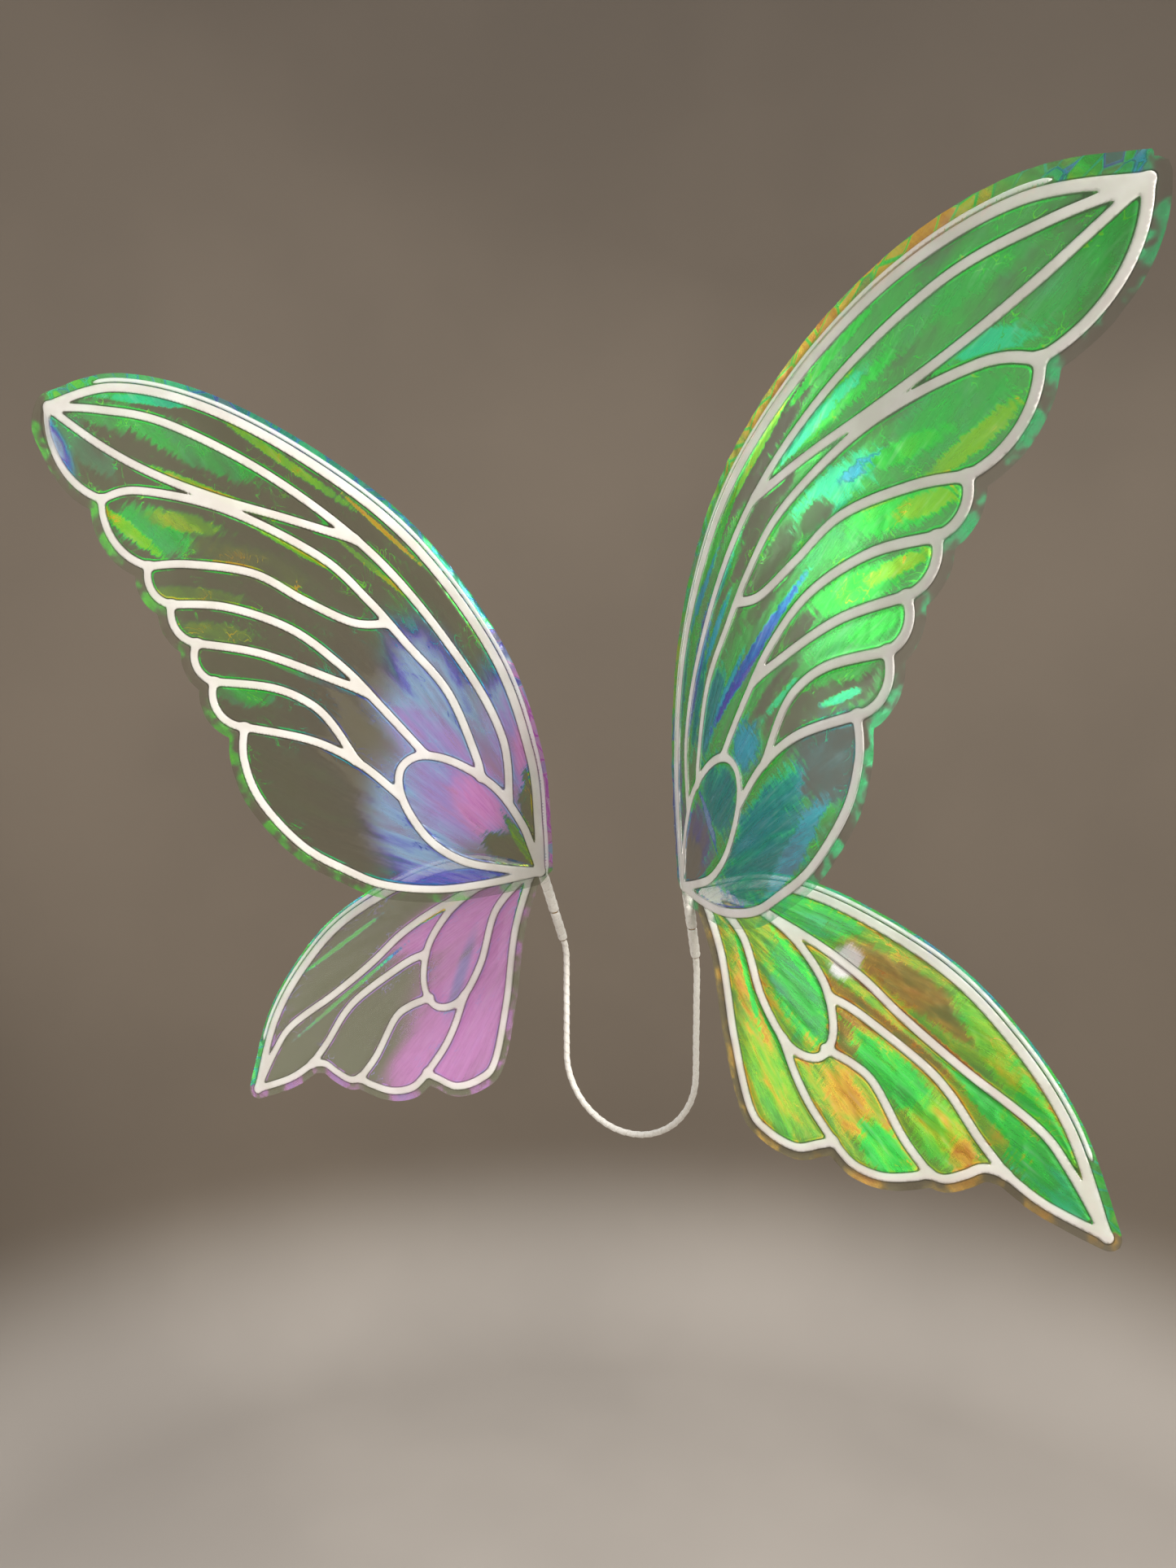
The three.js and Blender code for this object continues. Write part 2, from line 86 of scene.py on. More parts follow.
class FairyFilmColours(bpy.types.PropertyGroup):
    """The film's hues in the order it turns through them, painted reflection, and its clear tints.
    """

    magenta: colour_property("Magenta", "First hue of the film", "#c23fd0")
    orchid: colour_property("Orchid", "Pink of the left hindwing", "#e094dc")
    lilac: colour_property("Lilac", "Between orchid and blue", "#a893dc")
    sky: colour_property("Sky", "Pale blue of the left forewing", "#8db6dc")
    violet: colour_property("Violet", "Streaks near the roots", "#5b57c8")
    blue: colour_property("Blue", "Streaks beside the violet ones", "#2f78c8")
    cyan: colour_property("Cyan", "Bright edges near the roots", "#3cc4d8")
    teal: colour_property("Teal", "Blue-green near the roots", "#1a9f98")
    mint: colour_property("Mint", "Blue-green of the combed glints", "#38e29c")
    leaf: colour_property("Leaf", "Middle green", "#44c85a")
    neon: colour_property("Neon", "Brightest green", "#38e04e")
    lime: colour_property("Lime", "Yellow-green of the outer cells", "#8fdc34")
    gold: colour_property("Gold", "Margins and glints", "#e8c034")
    amber: colour_property("Amber", "Last hue of the film", "#c07a2a")
    olive: colour_property("Olive", "Clear tint of the left forewing", "#62634a")
    smoke: colour_property("Smoke", "Clear tint of the right forewing", "#4c5a4a")
    moss: colour_property("Moss", "Clear tint of the left hindwing", "#7f8a68")
    bronze: colour_property("Bronze", "Clear tint of the right hindwing", "#5f5a2a")
    pearl: colour_property("Pearl", "Pale sheen", "#f0ecf4")


class FairyWingSizes(bpy.types.PropertyGroup):
    """Sizes of the cut and laminated wings."""

    vein_half_width: length_property("Vein half width", "Half the width of an inner vein", 0.0033)
    leading_half_width: length_property(
        "Leading vein half width", "Half the width of the leading vein", 0.0037
    )
    card_half: length_property("Card half thickness", "Half the thickness of the veins", 0.0006)
    ripple: length_property("Ripple", "Height of the film's ripples in a wide cell", 0.0006)
    pillow: length_property("Pillow", "How far a wide cell of film stands off the middle", 0.001)
    crease: length_property("Crease", "Height of the creases in the film's margins", 0.0006)
    frame_step: length_property("Frame grid", "Grid that the vein frames are cut on", 0.0016)
    film_step: length_property("Film grid", "Grid that the film sheets are cut on", 0.002)


class FairyStageLook(bpy.types.PropertyGroup):
    """The plain studio round the wings."""

    floor: colour_property("Floor", "Pale floor", "#cfc8c0")
    wall: colour_property("Wall", "Soft warm grey behind the wings", "#82776a")
    floor_height: bpy.props.FloatProperty(
        name="Floor height", description="Height of the floor", default=-1.35, unit="LENGTH"
    )
    wall_radius: length_property("Wall radius", "How far round the wings the wall stands", 2.05)
    key_power: bpy.props.FloatProperty(
        name="Key light", description="Power of the main light", default=60, min=0, unit="POWER"
    )
    sheen_power: bpy.props.FloatProperty(
        name="Sheen light", description="Power of the wide light that the right wing mirrors",
        default=11, min=0, unit="POWER",
    )


# ---- The two patterns, in millimetres -------------------------------------------------------


def catmull(points, pitch=4.0, steps=24):
    """A smooth run through given points, as points about pitch apart."""
    knots = np.array(points, float)
    padded = np.vstack([knots[:1], knots, knots[-1:]])
    t = np.linspace(0, 1, steps, endpoint=False)[:, None]
    pieces = []
    for before, start, end, after in zip(padded, padded[1:], padded[2:], padded[3:]):
        leave, arrive = (end - before) / 2, (after - start) / 2
        pieces.append(
            (2 * start - 2 * end + leave + arrive) * t**3
            + (-3 * start + 3 * end - 2 * leave - arrive) * t**2
            + leave * t
            + start
        )
    return evenly(np.vstack([*pieces, knots[-1:]]), pitch)


def running_length(line):
    """How far along a line each of its points is."""
    return np.concatenate([[0], np.cumsum(np.linalg.norm(np.diff(line, axis=0), axis=1))])


def evenly(line, pitch):
    """The same line with points about pitch apart."""
    along = running_length(line)
    at = np.linspace(0, along[-1], max(2, math.ceil(along[-1] / pitch) + 1))
    return np.stack([np.interp(at, along, line[:, k]) for k in range(line.shape[1])], axis=1)


def scallop(start, end, rise, steps=24):
    """An arc that stands proud of its chord, towards +v."""
    start, end = np.array(start, float), np.array(end, float)
    chord = np.linalg.norm(end - start)
    radius = (chord * chord / 4 + rise * rise) / (2 * rise)
    across = (end - start) / chord
    proud = np.array([across[1], -across[0]])
    angle = np.linspace(-1, 1, steps)[:, None] * math.asin(chord / 2 / radius)
    arc = (start + end) / 2 + across * radius * np.sin(angle)
    return arc + proud * (radius * np.cos(angle) - radius + rise)


FORE_NOTCHES = [[604, 0], [506, 22], [434, 34], [397, 44], [358, 53], [325, 67], [280, 78]]
FORE_RISES = [17, 13, 9, 9, 9, 12]
FORE_LEADING = [[0, 0], [30, -29], [80, -71], [165, -114], [280, -136], [385, -127],
                [485, -99], [560, -56], [604, 0]]
FORE_LOBE = [[280, 78], [262, 99], [228, 116], [175, 121], [130, 111], [98, 99], [60, 71],
             [28, 36], [0, 0]]
FORE_INNER = [
    [[68, -30], [110, -66], [180, -90], [290, -106], [400, -96], [500, -67], [560, -32], [602, 0]],
    [[317, -105], [370, -79], [425, -51], [480, -28], [535, -12], [602, 0]],
    [[506, 22], [484, -7], [415, -48], [330, -74], [275, -75], [228, -70], [172, -63],
     [116, -38], [100, -27]],
    [[434, 34], [408, 8], [361, -25], [314, -38], [272, -52], [251, -70]],
    [[397, 44], [359, 12], [306, -12], [252, -18], [206, -15], [152, -10]],
    [[358, 53], [311, 21], [248, -6], [224, -15]],
    [[325, 67], [286, 37], [256, 25], [230, 24], [190, 34]],
    [[280, 78], [230, 47], [186, 34], [144, 32]],
    [[0, 0], [22, -11], [44, -21], [84, -29], [126, -22], [152, -7], [158, 12], [146, 28],
     [122, 39], [92, 44], [60, 38], [30, 21], [0, 0]],
]
HIND_LEADING = [[0, 0], [42, -42], [100, -67], [190, -80], [260, -71], [327, -46], [390, 0]]
HIND_TRAILING = [
    [[390, 0], [348, 12], [316, 14]],
    [[316, 14], [302, 22], [295, 36], [286, 50], [275, 55]],
    [[275, 55], [267, 67], [250, 84], [228, 93], [206, 90]],
    [[206, 90], [198, 101], [185, 117], [160, 124], [136, 119], [91, 80], [44, 32], [0, 0]],
]
HIND_INNER = [
    [[6, -5], [45, -20], [100, -30], [148, -33], [195, -29], [250, -28], [312, -30],
     [345, -21], [390, 0]],
    [[138, -3], [163, -8], [222, -10], [252, -6], [286, 6], [316, 14]],
    [[158, 34], [183, 28], [205, 29], [245, 47], [275, 55]],
    [[126, 52], [150, 68], [174, 80], [206, 90]],
    [[58, -23], [92, -21], [131, -7], [157, 20], [158, 44], [133, 53], [93, 37], [50, 6],
     [6, -3]],
]


class Pattern:
    """The cutting pattern of one kind of wing."""

    def __init__(self, leading, trailing, inner, margin, leading_margins, tail):
        self.leading = catmull(leading)
        self.trailing = trailing
        self.inner = [catmull(points) for points in inner]
        self.margin = margin
        self.leading_margins = leading_margins
        self.tail = tail
        self.tip = self.leading[-1]
        self.outline = np.vstack([self.leading, *self.trailing])


PATTERNS = {
    "forewing": Pattern(
        FORE_LEADING,
        [scallop(a, b, rise) for a, b, rise in zip(FORE_NOTCHES, FORE_NOTCHES[1:], FORE_RISES)]
        + [catmull(FORE_LOBE)],
        FORE_INNER,
        margin=12,
        leading_margins={"left": 12, "right": 16},
        tail=[],
    ),
    "hindwing": Pattern(
        HIND_LEADING,
        [catmull(points) for points in HIND_TRAILING],
        HIND_INNER,
        margin=10,
        leading_margins={"left": 10, "right": 10},
        tail=[(9, 1.9, 3.4), (4.4, 1.8, 1.8)],
    ),
}

RIB_OFFSET = 6.3  # middle of the sleeved wire beyond the middle of the leading vein
RIB_HALF_WIDTH = 1.8
RIB_HALF_HEIGHT = 0.95
RIB_SHORT_OF_TIP = 50


def rib_run(pattern):
    """The middle line of the sleeved wire outside the leading vein."""
    line = pattern.leading
    along = np.gradient(line, axis=0)
    along /= np.linalg.norm(along, axis=1)[:, None]
    beside = line + RIB_OFFSET * np.stack([along[:, 1], -along[:, 0]], axis=1)
    far = np.linalg.norm(beside - pattern.tip, axis=1)
    return beside[far > RIB_SHORT_OF_TIP]


# ---- Hanging a pattern on its stem ----------------------------------------------------------

BOW_RADIUS = 690
BOW_DIRECTION = math.radians(34.4)
STEM_TOP = Vector((72, -34, 137))
BEND = Vector((67, 0, 60))
DOWN_STEM = (BEND - STEM_TOP).normalized()
# Degrees that a wing is swept back, leant and raised in its own plane, and its root's offset.
HANGS = {
    ("left", "forewing"): (49, 3.5, 42.5, (-1, -6, 3)),
    ("right", "forewing"): (49, 3.5, 47.5, (-1, -6, 3)),
    ("left", "hindwing"): (6, -4, -38.5, (14, 1.5, -3)),
    ("right", "hindwing"): (6, -4, -31.5, (14, 1.5, -3)),
}


def down_stem(distance):
    """A point on the right stem's axis, so many millimetres below its top."""
    return STEM_TOP + DOWN_STEM * distance


def bowed(points):
    """Bends pattern points round a cylinder, as the forewing's wire does."""
    u, v, n = np.asarray(points, float).T
    reach = u * math.cos(BOW_DIRECTION) + v * math.sin(BOW_DIRECTION)
    aside = v * math.cos(BOW_DIRECTION) - u * math.sin(BOW_DIRECTION)
    radius = BOW_RADIUS - n
    bent = radius * np.sin(reach / BOW_RADIUS)
    height = BOW_RADIUS - radius * np.cos(reach / BOW_RADIUS)
    return np.stack(
        [
            bent * math.cos(BOW_DIRECTION) - aside * math.sin(BOW_DIRECTION),
            bent * math.sin(BOW_DIRECTION) + aside * math.cos(BOW_DIRECTION),
            height,
        ],
        axis=1,
    )


def hung(side, kind, points):
    """Pattern points u, v and n in millimetres to points in the frame, in metres."""
    sweep, lean, raised, root = HANGS[side, kind]
    turn = (
        Matrix.Rotation(math.radians(-sweep), 3, "Z")
        @ Matrix.Rotation(math.radians(lean), 3, "X")
        @ Matrix.Rotation(math.radians(-raised), 3, "Y")
        @ Matrix.Rotation(math.radians(-90), 3, "X")
    )
    flat = bowed(points) if kind == "forewing" else np.asarray(points, float)
    placed = flat @ np.array(turn).T + np.array(STEM_TOP + Vector(root))
    return to_side(side, placed * MM)


def to_side(side, points):
    """Points of the right side, or their mirror image for the left."""
    points = np.array(points, float)
    if side == "left":
        points[:, 0] *= -1
    return points


# ---- Fields over a pattern ------------------------------------------------------------------


class Grid:
    """A square grid over a wing's pattern, with a margin round it."""

    def __init__(self, pattern, step, spare=6):
        self.step = step
        room = max(pattern.leading_margins.values()) + spare
        self.low = pattern.outline.min(0) - room
        high = pattern.outline.max(0) + room
        self.count = np.ceil((high - self.low) / step).astype(int) + 1
        self.u = self.low[0] + step * np.arange(self.count[0])
        self.v = self.low[1] + step * np.arange(self.count[1])

    def distance(self, line, reach=30.0):
        """Distance from each node to a line of points; reach where it is further away."""
        best = np.full(self.count, reach)
        for start, end in zip(line, line[1:]):
            near, far = np.minimum(start, end) - reach, np.maximum(start, end) + reach
            i0, i1 = np.searchsorted(self.u, [near[0], far[0]])
            j0, j1 = np.searchsorted(self.v, [near[1], far[1]])
            du = self.u[i0:i1, None] - start[0]
            dv = self.v[None, j0:j1] - start[1]
            run = end - start
            part = np.clip((du * run[0] + dv * run[1]) / max(run @ run, 1e-9), 0, 1)
            gap = np.hypot(du - part * run[0], dv - part * run[1])
            best[i0:i1, j0:j1] = np.minimum(best[i0:i1, j0:j1], gap)
        return best

    def within(self, outline):
        """True at the nodes inside a closed outline."""
        u, v = np.meshgrid(self.u, self.v, indexing="ij")
        inside = np.zeros(u.shape, bool)
        for (au, av), (bu, bv) in zip(outline, np.roll(outline, -1, axis=0)):
            if av != bv:
                crossing = au + (v - av) * (bu - au) / (bv - av)
                inside ^= ((av > v) != (bv > v)) & (u < crossing)
        return inside

    def sample(self, field, points):
        """The field between its nodes, at each of the points."""
        at = np.clip((points - self.low) / self.step, 0, self.count - 1.001)
        i, j = at.astype(int).T
        a, b = (at - at.astype(int)).T
        return (
            field[i, j] * (1 - a) * (1 - b)
            + field[i + 1, j] * a * (1 - b)
            + field[i, j + 1] * (1 - a) * b
            + field[i + 1, j + 1] * a * b
        )


def smooth_step(value, low, high):
    part = np.clip((value - low) / (high - low), 0, 1)
    return part * part * (3 - 2 * part)


def soft_union(a, b, fillet):
    """The nearer of two distances, filled where they meet as a cutter's corner is."""
    near = np.clip(fillet - np.abs(a - b), 0, None) / fillet
    return np.minimum(a, b) - near * near * fillet / 4


VEIN_FILLET = 3.0
POINT_LEADING = (-46, -36.8)  # corners of the film's pointed end, from the wing's tip
POINT_TRAILING = (-52, 24)
POINT_BEYOND_MARGIN = (2, 1)
ROOT_CUT = 8  # the film is trimmed straight this far behind the root


def vein_field(grid, pattern, sizes):
    """Distance beyond the edge of the white veins, negative on them."""
    field = grid.distance(pattern.leading) - sizes.leading_half_width / MM
    for line in [*pattern.trailing, *pattern.inner]:
        field = soft_union(field, grid.distance(line) - sizes.vein_half_width / MM, VEIN_FILLET)
    return field


def film_field(grid, pattern, leading_margin):
    """Positive where the film is: the wing, a margin round it, a point at its tip."""
    to_leading = grid.distance(pattern.leading)
    edges = np.minimum.reduce([to_leading] + [grid.distance(line) for line in pattern.trailing])
    field = np.where(grid.within(pattern.outline), edges, -edges) + pattern.margin
    u, v = np.meshgrid(grid.u, grid.v, indexing="ij")
    last = pattern.leading[-1] - pattern.leading[-2]
    last /= np.linalg.norm(last)
    short_of_tip = (pattern.tip[0] - u) * last[0] + (pattern.tip[1] - v) * last[1]
    field = np.maximum(field, np.minimum(leading_margin - to_leading, short_of_tip))
    beyond = (pattern.margin + POINT_BEYOND_MARGIN[0], POINT_BEYOND_MARGIN[1])
    corners = [pattern.tip + shift for shift in (POINT_LEADING, beyond, POINT_TRAILING)]
    point = np.full(u.shape, np.inf)
    for (au, av), (bu, bv) in zip(corners, corners[1:] + corners[:1]):
        length = math.hypot(bu - au, bv - av)
        point = np.minimum(point, ((bu - au) * (v - av) - (bv - av) * (u - au)) / length)
    return np.minimum(np.maximum(field, point), u + ROOT_CUT)


class Noise:
    """Smooth noise over a plane from -1 to 1, the same each time for one seed."""

    SIDE = 64
    FULL = 1.4  # brings the sum of the slopes to about -1 to 1

    def __init__(self, seed):
        angle = np.random.default_rng(seed).uniform(0, 2 * math.pi, (self.SIDE, self.SIDE))
        self.slope = np.stack([np.cos(angle), np.sin(angle)], axis=-1)

    def at(self, x, y):
        i, j = np.floor(x).astype(int), np.floor(y).astype(int)
        a, b = x - i, y - j
        total = 0
        for di in (0, 1):
            for dj in (0, 1):
                slope = self.slope[(i + di) % self.SIDE, (j + dj) % self.SIDE]
                pull = slope[..., 0] * (a - di) + slope[..., 1] * (b - dj)
                wide = self.ease(a if di else 1 - a) * self.ease(b if dj else 1 - b)
                total = total + pull * wide
        return self.FULL * total

    @staticmethod
    def ease(part):
        return part**3 * (part * (part * 6 - 15) + 10)


# ---- Cutting a pattern out of a grid --------------------------------------------------------


def cut_sheet(grid, field, sliver=0.06):
    """Points and faces of the part of the grid where the field is positive, cut along its edge.

    No cut comes nearer to a node than the sliver's share of a step.
    """
    inside = field > 0
    points, faces, numbers = [], [], {}
    corners = ((0, 0), (1, 0), (1, 1), (0, 1))

    def node(i, j):
        key = (i, j)
        if key not in numbers:
            numbers[key] = len(points)
            points.append((grid.u[i], grid.v[j]))
        return numbers[key]

    def crossing(first, second):
        key = (first, second) if first < second else (second, first)
        if key not in numbers:
            (ai, aj), (bi, bj) = key
            part = field[ai, aj] / (field[ai, aj] - field[bi, bj])
            part = min(max(part, sliver), 1 - sliver)
            numbers[key] = len(points)
            points.append(
                (
                    grid.u[ai] + part * (grid.u[bi] - grid.u[ai]),
                    grid.v[aj] + part * (grid.v[bj] - grid.v[aj]),
                )
            )
        return numbers[key]

    held = inside[:-1, :-1] | inside[1:, :-1] | inside[1:, 1:] | inside[:-1, 1:]
    for i, j in np.argwhere(held).tolist():
        face = []
        for k, (di, dj) in enumerate(corners):
            here = (i + di, j + dj)
            there = (i + corners[(k + 1) % 4][0], j + corners[(k + 1) % 4][1])
            if inside[here]:
                face.append(node(*here))
            if inside[here] != inside[there]:
                face.append(crossing(here, there))
        faces.append(face)
    return np.array(points), faces


def rim_edges(faces):
    """The edges that only one face has, each in its face's own direction."""
    found = {}
    for face in faces:
        for a, b in zip(face, face[1:] + face[:1]):
            found[a, b] = True
    return [(a, b) for a, b in found if (b, a) not in found]


def closed_card(points, faces, half, softened):
    """A card of even thickness from a cut sheet, with softened edges."""
    rim = rim_edges(faces)
    on_rim = np.zeros(len(points), bool)
    on_rim[[a for a, _ in rim]] = True
    height = np.where(on_rim, half - softened, half)
    top = np.column_stack([points, height])
    bottom = np.column_stack([points, -height])
    count = len(points)
    solid = [list(face) for face in faces]
    solid += [[number + count for number in reversed(face)] for face in faces]
    solid += [[b, a, a + count, b + count] for a, b in rim]
    return np.vstack([top, bottom]), solid


def mesh_object(name, points, faces, material, flip=False):
    """A smooth-shaded object from points in metres."""
    if flip:
        faces = [face[::-1] for face in faces]
    mesh = bpy.data.meshes.new(name)
    mesh.from_pydata(np.asarray(points).tolist(), [], faces)
    mesh.validate()
    mesh.shade_smooth()
    mesh.materials.append(material)
    made = bpy.data.objects.new(name, mesh)
    bpy.context.scene.collection.objects.link(made)
    return made


def mark(piece, name, values):
    """Keeps a number or a vector at each point of a piece, for its material."""
    values = np.asarray(values, np.float32)
    kind = "FLOAT" if values.ndim == 1 else "FLOAT_VECTOR"
    layer = piece.data.attributes.new(name, kind, "POINT")
    layer.data.foreach_set("value" if values.ndim == 1 else "vector", values.ravel())


# ---- Materials: sockets as Python values ----------------------------------------------------


class Wire:
    """One output of a node. Arithmetic on it adds Math nodes."""

    def __init__(self, recipe, socket):
        self.recipe = recipe
        self.socket = socket

    def math(self, operation, first, second=0.0):
        return self.recipe.node("Math", {"operation": operation}, {0: first, 1: second})

    def __add__(self, other):
        return self.math("ADD", self, other)

    __radd__ = __add__

    def __sub__(self, other):
        return self.math("SUBTRACT", self, other)

    def __rsub__(self, other):
        return self.math("SUBTRACT", other, self)

    def __mul__(self, other):
        return self.math("MULTIPLY", self, other)

    __rmul__ = __mul__

    def sine(self):
        return self.math("SINE", self)

    def absolute(self):
        return self.math("ABSOLUTE", self)

    def held(self, low, high):
        """The value, kept between low and high."""
        return self.math("MINIMUM", self.math("MAXIMUM", self, low), high)

    def rise(self, low, high, first=0.0, last=1.0):
        """Smoothly from first, where the value is low, to last, where it is high."""
        return self.recipe.node(
            "MapRange",
            {"interpolation_type": "SMOOTHSTEP"},
            {"Value": self, "From Min": low, "From Max": high, "To Min": first, "To Max": last},
        )


class Recipe:
    """The nodes of one material."""

    def __init__(self, name):
        self.material = bpy.data.materials.new(name)
        self.material.use_nodes = True
        self.tree = self.material.node_tree
        self.tree.nodes.clear()

    def node(self, kind, settings=None, inputs=None, output=0):
        """Adds a node: its settings first, then the values or links of its sockets."""
        made = self.tree.nodes.new("ShaderNode" + kind)
        for name, value in (settings or {}).items():
            if name == "stops":
                self.set_stops(made.color_ramp, value)
            else:
                setattr(made, name, value)
        for name, value in (inputs or {}).items():
            if isinstance(value, Wire):
                self.tree.links.new(value.socket, made.inputs[name])
            else:
                made.inputs[name].default_value = value
        return Wire(self, made.outputs[output]) if made.outputs else None

    @staticmethod
    def set_stops(ramp, stops):
        while len(ramp.elements) < len(stops):
            ramp.elements.new(1.0)
        for element, (place, colour) in zip(ramp.elements, stops):
            element.position = place
            element.color = (*colour, 1)

    def mix(self, factor, first, second, blend="MIX"):
        """Two colours mixed."""
        first, second = (
            value if isinstance(value, Wire) else (*value, 1) for value in (first, second)
        )
        return self.node(
            "Mix",
            {"data_type": "RGBA", "blend_type": blend},
            {0: factor, 6: first, 7: second},
            output=2,
        )

    def between(self, factor, first, second):
        """Two values mixed."""
        return self.node("Mix", {"data_type": "FLOAT"}, {0: factor, 2: first, 3: second})

    def away(self, place, u, v, half_length, half_width, turn):
        """How far a place is from the middle of an ellipse, and 1 on the ellipse."""
        spot = self.node(
            "Mapping", {"vector_type": "TEXTURE"},
            {"Vector": place, "Location": (u, v, 0), "Rotation": (0, 0, math.radians(turn)),
             "Scale": (half_length, half_width, 1)},
        )
        return self.node("VectorMath", {"operation": "LENGTH"}, {0: spot}, "Value")

    def kept(self, name, output="Fac"):
        """What mark() kept at the points of the piece."""
        return self.node("Attribute", {"attribute_name": name}, output=output)

    def stretched(self, vector, scale, turn=0.0):
        """Coordinates turned in the sheet and then scaled."""
        return self.node(
            "Mapping", {"vector_type": "POINT"},
            {"Vector": vector, "Rotation": (0, 0, math.radians(turn)), "Scale": scale},
        )

    def noise(self, vector, scale, detail=2.0, roughness=0.5, distortion=0.0):
        """Noise from 0 to 1."""
        return self.node(
            "TexNoise", None,
            {"Vector": vector, "Scale": scale, "Detail": detail, "Roughness": roughness,
             "Distortion": distortion},
        )

    def bump(self, height, strength, distance):
        """A normal that the height tilts."""
        return self.node(
            "Bump", None, {"Height": height, "Strength": strength, "Distance": distance}
        )

    def finish(self, sockets):
        """Ends the material in a Principled shader with these sockets."""
        shader = self.node("BsdfPrincipled", None, sockets)
        self.node("OutputMaterial", None, {"Surface": shader})
        return self.material


# ---- The film's paint: dabs of hue over a wing's pattern ------------------------------------

# The order in which the film's hue turns, as thin film does: each hue's place along it.
SPECTRUM = {
    "magenta": 0.0, "orchid": 0.08, "lilac": 0.16, "sky": 0.24, "violet": 0.32, "blue": 0.39,
    "cyan": 0.46, "teal": 0.52, "mint": 0.6, "leaf": 0.68, "neon": 0.76, "lime": 0.84,
    "gold": 0.92, "amber": 1.0,
}
